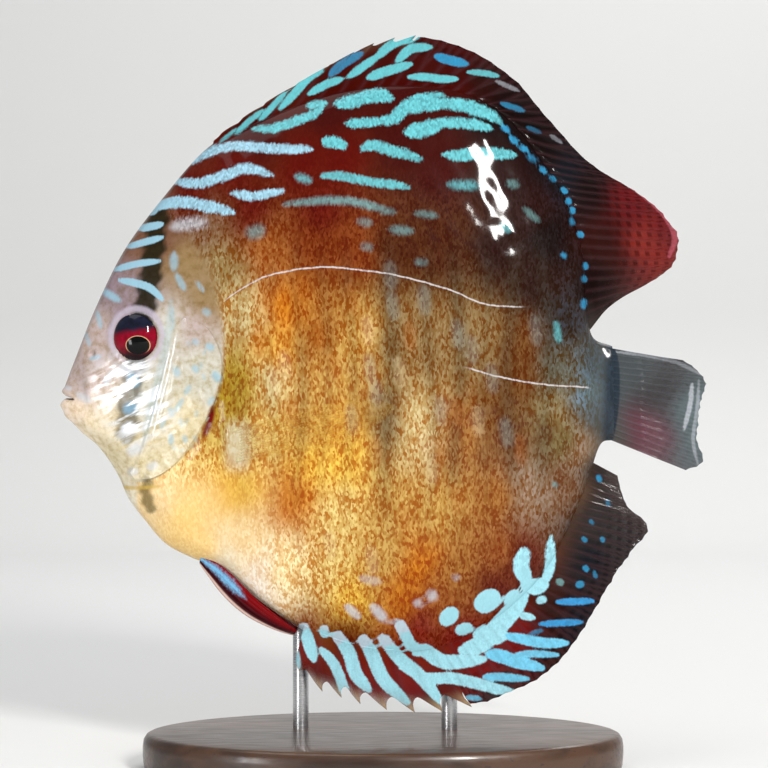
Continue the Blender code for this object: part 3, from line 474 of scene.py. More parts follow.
FLANK_CLOUDS = (
    (CLOUD_GREY, 0.26, 6.5, ((393, 305), (391, 276), (370, 368), (376, 392), (472, 350), (458, 334),
                             (441, 410), (492, 378), (506, 432), (424, 300), (352, 420), (536, 330))),
    (CLOUD_CREAM, 0.24, 6.5, ((274, 382), (285, 366), (425, 442), (432, 470), (400, 372), (368, 330),
                              (478, 420), (330, 545), (372, 560), (300, 545))),
    (CLOUD_ORANGE, 0.26, 6.5, ((302, 466), (438, 452), (458, 412), (319, 335), (292, 412),
                               (334, 366), (258, 342), (376, 452), (410, 336), (352, 300),
                               (456, 500), (404, 520), (520, 450), (300, 286))),
)
FLECK_COUNT, FLECK_SEED = 16, 12
COVER_MIDDLE, COVER_REACH = (182.0, 392.0), (32.0, 60.0)
RING_MIDDLE, RING_REACH = (136.5, 336.5), (26.0, 27.8)
RING_TURN, RING_POINTS, RING_HALF = (-62.0, 242.0), 19, 3.6


def eye_ring():
    """Pale lilac ring round the eye, an ellipse left open where the cheek bar starts."""
    turn = np.radians(np.linspace(*RING_TURN, RING_POINTS))
    across = RING_MIDDLE[0] + RING_REACH[0] * np.cos(turn)
    down = RING_MIDDLE[1] - RING_REACH[1] * np.sin(turn)
    path = tuple(zip(across, down))
    return ((LILAC, 0.75, RING_HALF, path),)


def clouds():
    """Faint upright clouds on the flank, each a short stroke twice its half width long each way:
    grey and cream where the shine lies, orange between them."""
    made = []
    for colour, strength, half, places in FLANK_CLOUDS:
        made += [(colour, strength, half, ((x - 2, y - 2 * half), (x, y), (x + 1, y + 2 * half)))
                 for x, y in places]
    return tuple(made)


def flecks():
    """Short faint flecks strewn over cheek and gill cover, more upright than level."""
    draw = np.random.default_rng(FLECK_SEED)
    made = []
    for _ in range(FLECK_COUNT):
        turn, far = draw.uniform(0, 2 * np.pi), draw.uniform(0.1, 1.0) ** 0.5
        x = COVER_MIDDLE[0] + COVER_REACH[0] * far * np.cos(turn)
        y = COVER_MIDDLE[1] + COVER_REACH[1] * far * np.sin(turn)
        lean, length = draw.uniform(-2.5, 2.5), draw.uniform(2.0, 8.0)
        made.append((POWDER, draw.uniform(0.2, 0.4), draw.uniform(1.6, 3.0),
                     ((x - lean, y - length / 2), (x + lean, y + length / 2))))
    return tuple(made)


CRISP_STROKES = BACK_STROKES + DORSAL_STROKES + ANAL_STROKES
ALL_STROKES = CRISP_STROKES + FACE_STROKES + eye_ring() + flecks() + clouds()
FIRST_SOFT = len(CRISP_STROKES)
print(len(ALL_STROKES), "strokes in all")

# %% Depth inside a stroke
SMOOTH_STEPS = 4
OUTSIDE, LOOK_ROUND = -40.0, 14
TAPER, FAINT_BELOW, BLUR = 0.55, 0.85, 0.14


def beside_piece(start, end, x, y):
    """Share 0 to 1 of a straight piece at which its point nearest to x, y lies, and how far
    away that point is."""
    run = end - start
    along = np.clip(((x - start[0]) * run[0] + (y - start[1]) * run[1]) / (run @ run), 0, 1)
    return along, np.hypot(x - start[0] - along * run[0], y - start[1] - along * run[1])


def depth_inside(line, half, x, y):
    """Half width half (1 - taper (2s - 1)^4) at the share s of the line, less the distance to
    it, so that a stroke narrows to a round end."""
    best = np.full(x.shape, OUTSIDE)
    for number, (start, end) in enumerate(zip(line[:-1], line[1:])):
        along, off = beside_piece(start, end, x, y)
        place = (number + along) / (len(line) - 1)
        width = half * (1.0 - TAPER * np.abs(2.0 * place - 1.0) ** 4)
        best = np.maximum(best, width - off)
    return best


def stroke_field(across, down):
    """Depth in pixels inside the deepest stroke (negative outside), its glaze and strength,
    how soft its edge is (only a faint one is), and its half width.

    A path is first smoothed by the spline. A soft edge is blurred by 0.14 half^1.5 pixels.
    """
    depth = np.full(across.shape, OUTSIDE)
    glaze = np.zeros(across.shape + (4,))
    soft, wide = np.zeros(across.shape), np.zeros(across.shape)
    for order, (colour, strength, half, path) in enumerate(ALL_STROKES):
        path = np.asarray(path, dtype=float)
        count = max(2, (len(path) - 1) * SMOOTH_STEPS + 1)
        line = share(path, np.linspace(0.0, 1.0, count))
        low, high = path.min(0) - half - LOOK_ROUND, path.max(0) + half + LOOK_ROUND
        near = (across > low[0]) & (across < high[0]) & (down > low[1]) & (down < high[1])
        if not near.any():
            continue
        best = depth_inside(line, half, across[near], down[near])
        index = np.flatnonzero(near.ravel())
        better = best > depth.ravel()[index]
        depth.ravel()[index[better]] = best[better]
        glaze.reshape(-1, 4)[index[better]] = (*linear(colour), strength)
        faint = order >= FIRST_SOFT or strength < FAINT_BELOW
        soft.ravel()[index[better]] = BLUR * half ** 1.5 if faint else 0.0
        wide.ravel()[index[better]] = half
    return depth, glaze, soft, wide


print("strokes smoothed by", SMOOTH_STEPS, "pieces a stretch")

# %% [markdown]
# ## From fields to vertex attributes
# Face and flank have their own zones and meet along the shoulder. Dark bars cross the flank and
# the eye. The right flank repeats the left one, bent by a slow wave, as no two flanks of a real
# discus match to the scale.

# %% Bars, thin lines and borders
# Each bar: middle, half width in pixels, strength.
BARS = ((299, 7, 0.34), (325, 6, 0.2), (350, 6, 0.3), (388, 10, 0.52), (430, 6, 0.34),
        (457, 8, 0.5), (484, 6, 0.24), (510, 9, 0.42), (545, 9, 0.36), (240, 12, 0.25),
        (272, 6, 0.2))
BAR_TINT = (0.33, 0.30, 0.24)
LATERAL_UPPER = ((222, 303), (240, 290), (270, 275), (320, 267), (360, 270), (400, 276),
                 (450, 290), (485, 304), (525, 307))
LATERAL_LOWER = ((465, 367), (500, 377), (540, 384), (592, 388))
# The two ridge lines are painted highlights: the glints on both sides of the gill cover's front ridge.
RIDGE_REAR = ((176, 334), (170, 366), (161, 402), (152, 438))
RIDGE_FRONT = ((170, 348), (165, 370), (156, 404), (150, 428))
PALE_SKIN, RIDGE_PAINTED_GLINT = (0.56, 0.52, 0.52, 1.0), (0.90, 0.92, 0.94, 1.0)
THIN_LINES = ((LATERAL_UPPER, False, PALE_SKIN), (LATERAL_LOWER, False, PALE_SKIN),
              (RIDGE_REAR, True, RIDGE_PAINTED_GLINT), (RIDGE_FRONT, True, RIDGE_PAINTED_GLINT))
GLARE_MIDDLE, GLARE_REACH, GLARE_TILT = (133.0, 400.0), (33.0, 44.0), 25.0
EYE_BAR = ((158, 216), (153, 255), (148, 290), (140, 330), (133, 375), (128, 405), (127, 432))
CHEST_BAR = ((146, 482), (147, 494), (150, 506))
SHOULDER = ((168, 215), (206, 262), (222, 320), (222, 372), (208, 415), (184, 455), (150, 480),
            (118, 482))
WARP_HEIGHT = 3.0
FLANK_GAIN = np.array([0.93, 0.91, 0.76])
FACE_GAIN, BREAST_GAIN = np.array([0.97, 0.91, 0.93]), np.array([0.98, 0.97, 1.08])
PAD_SEEN, PAD_SEEN_REACH, PAD_WEIGHT = (237.0, 446.0), (12.0, 23.0), 0.8
ZONE_SOFT, FACE_SOFT, ZONE_UPRIGHT = 15.0, 13.0, 0.75
# Pixel rows (down) and columns (across) between which each change runs from 0 to 1.
BARS_TOP, BARS_FOOT = (215, 300), (430, 560)
BREAST_DOWN, BREAST_ACROSS = (440, 500), (225, 350)
SCALES_DOWN, SCALES_REAR, SMOOTH_EDGE_DOWN = (150, 230), (575, 600), (530, 590)
# Column of the shoulder above its path, and how soft it is, both by row.
NAPE_DOWN, NAPE_ACROSS = (100, 215), (205, 168)
SHOULDER_DOWN, SHOULDER_SOFT = (200, 300, 340, 480), (26.0, 16.0, 6.0, 5.0)
print("bars", len(BARS), "thin lines", len(THIN_LINES))

# %% Distances to the paths of the face and the flank


def path_distance(path, across, down):
    """Distance in pixels to a smoothed path, and the place 0 to 1 of the nearest point."""
    line = share(np.asarray(path, dtype=float), np.linspace(0.0, 1.0, 8 * len(path)))
    best, place = np.full(across.shape, 1e9), np.zeros(across.shape)
    for number, (start, end) in enumerate(zip(line[:-1], line[1:])):
        along, off = beside_piece(start, end, across, down)
        nearer = off < best
        best = np.where(nearer, off, best)
        place = np.where(nearer, (number + along) / (len(line) - 1), place)
    return best, place


def face_share(across, down):
    """1 on the face and 0 on the flank, by the side of the shoulder path."""
    line = share(np.asarray(SHOULDER, dtype=float), np.linspace(0.0, 1.0, 60))
    order = np.argsort(line[:, 1])
    border = np.interp(down, line[order, 1], line[order, 0])
    upper = np.interp(down, NAPE_DOWN, NAPE_ACROSS)
    border = np.where(down < NAPE_DOWN[1], upper, border)
    softness = np.interp(down, SHOULDER_DOWN, SHOULDER_SOFT)
    return 1.0 - smoothstep((across - border) / softness, -0.5, 0.6)


def line_offset(path, upright, across, down):
    """Signed pixels off a thin line, and 1 along its length, fading out at its ends."""
    fine = share(np.asarray(path, dtype=float), np.linspace(0.0, 1.0, 60))
    run, off = (1, 0) if upright else (0, 1)
    place, beside = (down, across) if upright else (across, down)
    first, last = fine[0, run], fine[-1, run]
    inside = smoothstep(place, first, first + 8) * (1.0 - smoothstep(place, last - 8, last))
    return np.interp(place, fine[:, run], fine[:, off]) - beside, inside


def cheek_sheen(across, down):
    """1 on the cheek's silvery glare, partly a painted highlight, falling off over a tilted oval by
    exp(-r^4).
    """
    turn = math.radians(GLARE_TILT)
    x, y = across - GLARE_MIDDLE[0], down - GLARE_MIDDLE[1]
    along = (x * math.cos(turn) - y * math.sin(turn)) / GLARE_REACH[0]
    beside = (x * math.sin(turn) + y * math.cos(turn)) / GLARE_REACH[1]
    return np.exp(-along ** 4 - beside ** 4)


print("the shoulder has", len(SHOULDER), "points")

# %% Painted attributes


def bar_shade(across, down, face):
    """Weight of the upright dark bars of the flank: a bell across each, on a middle that
    wanders by 4 pixels, faded out towards back, belly and face."""
    faded = 1.0 - 0.9 * smoothstep(down, *BARS_FOOT)
    band = smoothstep(down, *BARS_TOP) * faded * (1.0 - face)
    shade = np.zeros(across.shape)
    for centre, width, strength in BARS:
        wander = 4.0 * np.sin(down / 38.0 + centre)
        shade += strength * band * hill(across - centre - wander, width)
    return shade


def laid_over(ground, pigment, weight):
    """Ground with one pigment laid over it by a weight from 0 to 1."""
    return mix(ground, linear(PIGMENTS[pigment]), weight[..., None])


def dark_bars(ground, across, down):
    """Ground with the bar through the eye and the one on the chest, both with ragged edges."""
    ragged = 2.5 * np.sin(down / 3.1) * np.sin(across / 4.3 + down / 7.0)
    off, place = path_distance(EYE_BAR, across, down)
    strength = mix(0.95, 0.65, smoothstep(place, 0.45, 0.75))
    ground = laid_over(ground, "olive", smoothstep(-off + ragged, -14.0, -7.0) * strength)
    off, _ = path_distance(CHEST_BAR, across, down)
    return laid_over(ground, "moss", 0.75 * smoothstep(-off + ragged, -8.0, -3.0))


def paint(points):
    """Every attribute of points in millimetres: ground colour, stroke glaze, depth and edge,
    where scales show, face or flank, cheek sheen, and the distance to each thin line."""
    across, down = seen(points)
    right = points[..., 1] > 0
    across = across + np.where(right, WARP_HEIGHT * np.sin(down / 31.0 + 1.0), 0.0)
    down = down + np.where(right, WARP_HEIGHT * np.sin(across / 27.0), 0.0)
    face = face_share(across, down)
    wavy = across + 3.0 * np.sin(down / 9.0) + 2.5 * np.sin(down / 23.0 + across / 60.0)
    ground = mix(blend_zones(FLANK_ZONES, wavy, down, ZONE_SOFT, ZONE_UPRIGHT),
                 blend_zones(FACE_ZONES, across, down, FACE_SOFT), face[..., None])
    shade = bar_shade(across, down, face)
    ground = mix(ground, linear(BAR_TINT) * (0.4 + ground), shade[..., None])
    ground = dark_bars(ground, across, down)
    pad = PAD_WEIGHT * plateau(across, down, PAD_SEEN, PAD_SEEN_REACH)
    ground = laid_over(ground, "shell", pad)
    breast = smoothstep(down, *BREAST_DOWN) * (1.0 - smoothstep(across, *BREAST_ACROSS))
    gain = mix(FLANK_GAIN, FACE_GAIN, face[..., None])
    ground = ground * mix(gain, BREAST_GAIN, breast[..., None])
    depth, glaze, soft, wide = stroke_field(across, down)
    scaly = (1.0 - face) * smoothstep(down, *SCALES_DOWN) + 0.25 * (1.0 - face)
    scaly = scaly * (1.0 - 0.86 * breast) * (1.0 - pad)
    scaly = np.clip(scaly, 0.0, 1.0) * (1.0 - 0.7 * smoothstep(across, *SCALES_REAR))
    ragged = mix(0.4, 2.4, (1.0 - smoothstep(down, *SMOOTH_EDGE_DOWN)) * (1.0 - face))
    ragged = ragged * smoothstep(wide, 0.0, 6.0)
    made = {"ground": ground, "glaze": glaze, "stroke": depth, "scaly": scaly, "face": face,
            "soft": soft, "ragged": ragged, "sheen": cheek_sheen(across, down)}
    for number, (path, upright, _) in enumerate(THIN_LINES):
        made["line_%d" % number], made["line_on_%d" % number] = line_offset(
            path, upright, across, down)
    return made


print("places painted by", len(PIGMENTS), "pigments and", len(ALL_STROKES), "strokes")

# %% Mesh builder


def build_mesh(name, points, faces, attributes=None):
    """Mesh object from points in millimetres and a list of index arrays, one per face size."""
    mesh = bpy.data.meshes.new(name)
    mesh.vertices.add(len(points))
    mesh.vertices.foreach_set("co", (np.asarray(points) * MM).astype(np.float32).ravel())
    sizes = np.concatenate([np.full(len(part), part.shape[1]) for part in faces])
    corners = np.concatenate([part.ravel() for part in faces]).astype(np.int32)
    mesh.loops.add(len(corners))
    mesh.loops.foreach_set("vertex_index", corners)
    mesh.polygons.add(len(sizes))
    starts = np.concatenate([[0], np.cumsum(sizes)[:-1]]).astype(np.int32)
    mesh.polygons.foreach_set("loop_start", starts)
    mesh.update(calc_edges=True)
    mesh.validate()
    for key, values in (attributes or {}).items():
        values = np.asarray(values, dtype=np.float32)
        if values.ndim == 1:
            mesh.attributes.new(key, "FLOAT", "POINT").data.foreach_set("value", values)
        else:
            if values.shape[1] == 3:
                values = np.concatenate([values, np.ones((len(values), 1))], axis=1)
            layer = mesh.attributes.new(key, "FLOAT_COLOR", "POINT")
            layer.data.foreach_set("color", values.astype(np.float32).ravel())
    mesh.shade_smooth()
    thing = bpy.data.objects.new(name, mesh)
    bpy.context.scene.collection.objects.link(thing)
    return thing


print("mesh builder ready")

# %% Rings and sheets


def ring_faces(rings, around, flip=False):
    """Quads of a tube of rings, closed around, with a fan at each end to one more vertex each.

    The end vertices are numbers rings x around and the one after it.
    """
    number = np.arange(rings * around).reshape(rings, around)
    turned = np.roll(number, -1, axis=1)
    quads = np.stack([number[:-1], turned[:-1], turned[1:], number[1:]], axis=-1).reshape(-1, 4)
    first = np.stack([turned[0], number[0], np.full(around, rings * around)], axis=-1)
    last = np.stack([number[-1], turned[-1], np.full(around, rings * around + 1)], axis=-1)
    faces = [quads, np.concatenate([first, last])]
    return [part[:, ::-1] for part in faces] if flip else faces


def sheet_faces(rows, columns, flip=False):
    """Quads of a closed thin solid: a front grid, a back grid of the same size, and its rim."""
    number = np.arange(rows * columns).reshape(rows, columns)
    total = rows * columns
    front = np.stack([number[:-1, :-1], number[:-1, 1:], number[1:, 1:], number[1:, :-1]],
                     axis=-1).reshape(-1, 4)
    back = front[:, ::-1] + total
    border = np.concatenate([number[0, :], number[1:, -1], number[-1, -2::-1],
                             number[-2:0:-1, 0]])
    after = np.roll(border, -1)
    rim = np.stack([after, border, border + total, after + total], axis=-1)
    quads = np.concatenate([front, back, rim])
    return [quads[:, ::-1]] if flip else [quads]


def two_faces(x, middle, half, z, side=1.0):
    """Grids of points half a thickness below and above the middle, towards the given side."""
    return (np.stack([x, side * (middle - half), z], axis=-1),
            np.stack([x, side * (middle + half), z], axis=-1))


def sheet(name, front, back, of_front, of_back, flip=False):
    """Closed sheet from two grids of points, with the attribute grids of each."""
    rows, columns = front.shape[:2]
    points = np.concatenate([front.reshape(-1, 3), back.reshape(-1, 3)])
    flat = {}
    for key, values in of_front.items():
        shape = (-1,) + values.shape[2:]
        flat[key] = np.concatenate([values.reshape(shape), of_back[key].reshape(shape)])
    return build_mesh(name, points, sheet_faces(rows, columns, flip), flat)


print("a sheet of 2 by 2 points has", len(sheet_faces(2, 2)[0]), "faces")

# %% [markdown]
# ## The skin
# One closed skin covers head, trunk and tail stem. Its first rings line the mouth and roll over
# the lips. The rings behind them follow the stations. Small hills and furrows are added square
# to the flank: the ring round the eye, the nostrils, the folds of the cheek.

# %% Mouth rings
# Each ring: middle of its top, middle of its bottom (x, z) and its corner (x, y, z).
MOUTH_RINGS = (
    ((-67.2, 80.5), (-67.2, 80.2), (-66.8, 1.4, 80.3)),
    ((-68.7, 80.75), (-68.9, 80.1), (-66.6, 2.8, 80.0)),
    ((-69.55, 81.7), (-69.9, 78.8), (-66.3, 3.9, 79.9)),
    ((-68.95, 82.8), (-69.3, 77.4), (-65.6, 4.3, 79.8)),
    ((-68.5, 84.0), (-68.75, 76.1), (-64.8, 4.6, 79.8)),
    ((-67.6, 86.4), (-67.4, 75.0), (-63.8, 4.95, 79.9)),
)
MOUTH_SKEW = 0.65
FIRST_STATION = 1.3
JOIN_STEPS = (0.0, 0.3, 0.6)
LIP_RINGS = (4, 7, 7, 7, 7, 9)
HEAD_END, HEAD_RINGS, TRUNK_RINGS = 6.0, 78, 112
AROUND_HALF = 200
CROWDING = 0.6


def section_heights(half):
    """Heights 0 to 1 along a section, closer together at both edges:
    s - crowding x sin(2 pi s) / 2 pi."""
    part = np.linspace(0.0, 1.0, half + 1)
    return part - CROWDING * np.sin(2 * np.pi * part) / (2 * np.pi)


def mouth_ring(top, bottom, corner, heights):
    """x, half width and z of an oval ring: straight from bottom to top, pushed towards the
    corner by 4p(1-p), with a half width of the corner's y times its square root."""
    part = heights ** MOUTH_SKEW
    bulge = 4.0 * part * (1.0 - part)
    x = mix(bottom[0], top[0], part) + (corner[0] - (bottom[0] + top[0]) / 2) * bulge
    z = mix(bottom[1], top[1], part) + (corner[2] - (bottom[1] + top[1]) / 2) * bulge
    return np.stack([x, corner[1] * np.sqrt(bulge), z], axis=-1)


def rounded_section(place, heights):
    """x, half width and z of a body section whose two edges are rounded off: within one rim
    half thickness of an edge the width follows a quarter circle."""
    x, z, half = body(np.full(heights.shape, place), heights)
    row = spline(STATIONS, place)
    length = math.hypot(row[0] - row[2], row[1] - row[3])
    belly = np.clip(heights * length / row[6], 0.0, 1.0)
    back = np.clip((1.0 - heights) * length / row[5], 0.0, 1.0)
    cap = np.sqrt(1.0 - (1.0 - belly) ** 2) * np.sqrt(1.0 - (1.0 - back) ** 2)
    return np.stack([x, half * cap, z], axis=-1)


def skin_rings():
    """All half sections, from inside the mouth to the tail root, as rings x heights x 3."""
    heights = section_heights(AROUND_HALF)
    control = [mouth_ring(*ring, heights) for ring in MOUTH_RINGS]
    control += [rounded_section(FIRST_STATION + step, heights) for step in JOIN_STEPS]
    places = np.concatenate([np.linspace(k, k + 1, n, endpoint=False)
                             for k, n in enumerate(LIP_RINGS)])
    front = spline(control, places)
    rest = np.concatenate([np.linspace(FIRST_STATION, HEAD_END, HEAD_RINGS, endpoint=False),
                           np.linspace(HEAD_END, TAIL_ROOT, TRUNK_RINGS)])
    return np.concatenate([front, np.array([rounded_section(p, heights) for p in rest])])


half_rings = skin_rings()
half_rings[..., 1] = np.maximum(half_rings[..., 1], 0.0)
print("rings and heights", half_rings.shape)

# %% Relief of the head and flank
# Rings are rows of radius, width and rise in millimetres.
ORBIT_RINGS = ((5.0, 0.4, 0.45), (6.2, 0.8, 0.35))
SOCKET_DEPTH, SOCKET_EDGE = 2.6, (-4.4, -3.3)
NOSTRIL, NOSTRIL_RINGS = (-62.2, 89.8), ((1.0, 0.35, 0.3), (0.0, 0.55, -0.8))
FOLD_RINGS = ((0.0, 0.35, 0.28), (1.0, 0.5, -0.22))
BED_DEPTH, BED_WIDTH = 0.4, 2.2
PAD, PAD_REACH, PAD_RISE = (-31.8, 70.2), (2.3, 5.4), 0.9
RIPPLE_RISE, RIPPLE_WAVES = 0.02, ((1.3, 0.4, 0.0), (0.5, -1.1, 2.0), (0.9, 0.9, 4.0))
PREOPERCLE = ((-43.6, 95.6), (-45.9, 87.0), (-48.3, 78.0), (-51.0, 70.0), (-52.4, 66.4))
COVER_FRONT = ((-54.4, 64.1), (-50.8, 69.8), (-47.8, 78.0), (-45.5, 87.0), (-43.4, 96.2))
COVER_MARGIN = ((-53.4, 62.8), (-48.8, 63.4), (-43.8, 66.8), (-39.2, 73.2), (-35.4, 80.4),
                (-34.2, 88.2), (-37.0, 94.9), (-42.2, 97.5))


def ringed(total, distance, rings):
    """Total with rings added round a place or a line, each by its radius, width and rise."""
    for radius, width, rise in rings:
        total = total + rise * hill(distance - radius, width)
    return total


def relief(x, z):
    """Height in millimetres added to the flank: rings round the eye, nostril pit and rim, the
    cheek folds, and the bed of the gill cover."""
    from_eye = np.hypot((x - EYE_X) / EYE_OVAL[0], (z - EYE_Z) / EYE_OVAL[1])
    total = ringed(0.0, from_eye, ORBIT_RINGS)
    total = total - SOCKET_DEPTH * smoothstep(-from_eye, *SOCKET_EDGE)
    total = ringed(total, np.hypot(x - NOSTRIL[0], z - NOSTRIL[1]), NOSTRIL_RINGS)
    fold, _ = path_distance(PREOPERCLE, x, z)
    total = ringed(total, fold, FOLD_RINGS)
    margin, place = path_distance(COVER_MARGIN, x, z)
    return total - BED_DEPTH * hill(margin, BED_WIDTH) * smoothstep(place, 0.02, 0.12) * (
        1.0 - smoothstep(place, 0.5, 0.85))


def pectoral_pad(x, z):
    """Fleshy pad from which the pectoral fin grows: an upright oval hill."""
    return PAD_RISE * plateau(x, z, PAD, PAD_REACH)


def ripple(x, z):
    """Three crossing waves of 0.02 mm: muscle under the wet skin, which breaks the glints."""
    return RIPPLE_RISE * sum(np.sin(a * x + b * z + start) for a, b, start in RIPPLE_WAVES)


flank_x, flank_z = half_rings[..., 0], half_rings[..., 2]
bump = relief(flank_x, flank_z) + pectoral_pad(flank_x, flank_z) + ripple(flank_x, flank_z)
firm = smoothstep(half_rings[..., 1], 0.4, 3.0)
half_rings[..., 1] += bump * firm
print("relief from", round(float(bump.min()), 2), "to", round(float(bump.max()), 2), "mm")

# %% Skin mesh
TAIL_SINK = 1.2
# The first rings inside the mouth are painted dark brown: painted shade in the hollow of the mouth.
MOUTH_PAINTED_SHADE, MOUTH_SHADE_RINGS = np.array([0.10, 0.04, 0.03]), 5


def full_rings(half):
    """Both sides of the half sections: up the left flank, then down the right one."""
    left = half * np.array([1.0, -1.0, 1.0])
    right = half[:, -2:0:-1]
    left[:, 0, 1] = 0.0
    left[:, -1, 1] = 0.0
    return np.concatenate([left, right], axis=1)


rings = full_rings(half_rings)
inner_end = rings[0].mean(axis=0)
tail_end = rings[-1].mean(axis=0) + np.array([TAIL_SINK, 0.0, 0.0])
skin_points = np.concatenate([rings.reshape(-1, 3), inner_end[None], tail_end[None]])
skin_paint = paint(skin_points)
# Painted shade: the rings inside the mouth are laid over with the dark brown.
mouth_shade = np.zeros((len(half_rings), rings.shape[1]))
mouth_shade[:MOUTH_SHADE_RINGS] = 1.0
mouth_shade = np.concatenate([mouth_shade.ravel(), [1.0, 0.0]])
ground = mix(skin_paint["ground"], MOUTH_PAINTED_SHADE, mouth_shade[:, None])
skin = build_mesh("fish_skin", skin_points, ring_faces(*rings.shape[:2]),
                  {**skin_paint, "ground": ground})
print("skin faces", len(skin.data.polygons))

# %% [markdown]
# ## Gill covers
# The gill cover is a stiff plate that lies flush at its front edge and stands off the shoulder
# at its free rear edge, where the fish breathes out. It is a closed sheet laid over the skin.

# %% Gill cover pieces
COVER_ROWS, COVER_COLUMNS = 120, 56
COVER_LIFT, COVER_LEAST, COVER_THICK = (-0.25, 0.62), 0.05, 0.38


def gill_cover(side, name):
    """Sheet between the front edge and the margin. Its outer face rises from just under the
    skin to 0.6 mm over it, and its thickness rounds off to nothing at the margin."""
    part = np.linspace(0.0, 1.0, COVER_ROWS)
    blend = np.linspace(0.0, 1.0, COVER_COLUMNS)
    flat = mix(share(COVER_FRONT, part)[:, None], share(COVER_MARGIN, part)[:, None],
               blend[None, :, None])
    x, z = flat[..., 0], flat[..., 1]
    skin_here = flank(x, z)
    ends = smoothstep(part, 0.0, 0.07) * (1.0 - smoothstep(part, 0.93, 1.0))
    held = ends * (1.0 - 0.85 * smoothstep(part, 0.55, 0.92))
    lift = mix(*COVER_LIFT, blend[None, :] ** 1.3) * mix(0.1, 1.0, held)[:, None]
    wave = 0.05 * np.sin(part * 26.0)[:, None] * blend[None, :] ** 3 + ripple(1.6 * x, 1.3 * z)
    outer = skin_here + lift + wave
    closing = np.sqrt(1.0 - np.clip((blend - 0.9) / 0.1, 0.0, 1.0) ** 2)[None, :]
    thick = COVER_LEAST + COVER_THICK * closing * ends[:, None]
    front, back = (np.stack([x, side * y, z], axis=-1) for y in (outer, outer - thick))
    return sheet(name, front, back, paint(front), paint(back), flip=side > 0)


covers = [gill_cover(-1.0, "gill_cover_flap_left"), gill_cover(1.0, "gill_cover_flap_right")]
print("gill cover faces", len(covers[0].data.polygons))

# %% [markdown]
# ## Fins
# A fin is a thin skin stretched over rays. In front of the back and belly fins stand stiff
# spines, behind them soft rays that fork on the way out. Each fin is one closed sheet whose own
# surface rises over every ray, which is how the real membrane wraps them.

# %% Ray tables
# Station of the root on the body's edge, then x and z of the tip.
DORSAL_RAYS = (
    (5.1, -36.6, 136.8), (6.0, -26.2, 144.2), (7.4, -11.5, 153.1), (8.6, -1.7, 157.6),
    (9.6, 8.0, 158.7), (10.7, 18.9, 155.6), (11.7, 28.6, 149.0), (12.6, 35.8, 140.6),
    (13.6, 44.9, 131.0), (14.5, 54.0, 125.4), (15.3, 60.5, 120.4), (16.2, 64.4, 114.5),
    (17.1, 62.6, 108.7), (18.1, 57.4, 105.0), (18.9, 49.6, 101.2),
)
ANAL_RAYS = (
    (10.7, -19.7, 20.5), (11.0, -13.9, 16.3), (11.4, -9.4, 15.1), (11.7, -4.6, 13.5),
    (12.0, 2.4, 12.2), (12.4, 8.9, 12.2), (12.8, 15.8, 12.9), (13.3, 23.2, 14.8),
    (13.9, 31.9, 18.5), (14.6, 39.4, 24.6), (15.3, 45.3, 33.2), (16.0, 49.6, 40.8),
    (16.7, 53.5, 46.5), (17.3, 57.6, 52.3), (17.9, 52.9, 57.1), (18.5, 50.9, 63.4),
)
TAIL_TIPS = ((65.0, 88.4), (68.3, 86.0), (69.8, 82.9), (68.9, 79.2), (68.4, 75.2), (68.2, 71.0),
             (69.5, 66.6), (65.6, 64.6))
SINK = 1.3
STEPS_PER_RAY = 10
FORK_START, FORK_END, FORK_OFF = 0.42, 0.95, 0.24
SOFT_WIDTH, SPINE_WIDTH = 0.15, 0.12
print(len(DORSAL_RAYS), "dorsal and", len(ANAL_RAYS), "anal guide rays")

# %% Profile of a ray and of the fin's outer edge


def ray_profile(count, spines, rows):
    """Columns across a fin of count rays, and the ridge 0 to 1 over rows x columns.

    A spine is one bell over its own line. A soft ray's bell splits in two past the fork, each
    half moving out to a quarter of the spacing.
    """
    position = np.linspace(0.0, count - 1.0, (count - 1) * STEPS_PER_RAY + 1)
    nearest = np.round(position)
    off = position - nearest
    soft = (nearest >= spines)[None, :]
    fork = np.where(soft, FORK_OFF * smoothstep(rows, FORK_START, FORK_END)[:, None], 0.0)
    width = np.where(soft, SOFT_WIDTH, SPINE_WIDTH)
    ridge = np.maximum(hill(off[None, :] - fork, width), hill(off[None, :] + fork, width))
    return position, ridge, off, nearest < spines - 0.5


def outer_reach(position, off, spiny, web, seed):
    """How far each column reaches: 1 on a ray, less between spines, lightly frayed behind."""
    draw = np.random.default_rng(seed)
    frayed = draw.uniform(0.975, 1.0, int(position[-1]) + 2)
    soft_reach = np.interp(position, np.arange(len(frayed)), frayed)
    between = 1.0 - np.abs(2.0 * np.abs(off) - 1.0) ** 1.6
    spine_reach = 1.0 - (1.0 - web) * between
    return mix(soft_reach - 0.012 * between, spine_reach, spiny.astype(float))


def fin_rows(count):
    """Row places 0 to 1, closer together near the root and the outer edge:
    s - 0.24 sin(2 pi s) / 2 pi."""
    part = np.linspace(0.0, 1.0, count)
    return part - 0.12 * np.sin(2 * np.pi * part) / (2 * np.pi) * 2


print("fork starts at", FORK_START)

# %% Unpaired fins
LOBE_BEND, CLAW_LEAN = 1.5, 1.3
WEB_HALF, ROOT_HALF, ROOT_FADE = 0.16, 0.95, 2.4
FIN_ROWS, TAIL_ROWS, PECTORAL_ROWS, PELVIC_ROWS = 46, 56, 44, 60
SPINE_HALF, RAY_HALF, TIP_HALF = 0.42, 0.20, 0.10


def fin_paint(points, ridge, clear, position, tips=0.0, net=1.0):
    """Painted attributes of a fin grid, with the ray ridge, how clear the membrane is, the
    millimetres from the root, and the number of the ray. Tips is the share of pale horn."""
    painted = paint(points)
    tips = np.asarray(tips * (0.35 + 0.65 * ridge))
    made = {key: painted[key] for key in ("ground", "glaze", "stroke")}
    made["ground"] = laid_over(made["ground"], "horn", tips)
    made["ray"] = ridge
    made["clear"] = clear
    made["far"] = np.linalg.norm(points - points[:1], axis=-1)
    made["number"] = np.broadcast_to(position[None, :], ridge.shape)
    made["net"] = np.broadcast_to(net, ridge.shape)
    return made


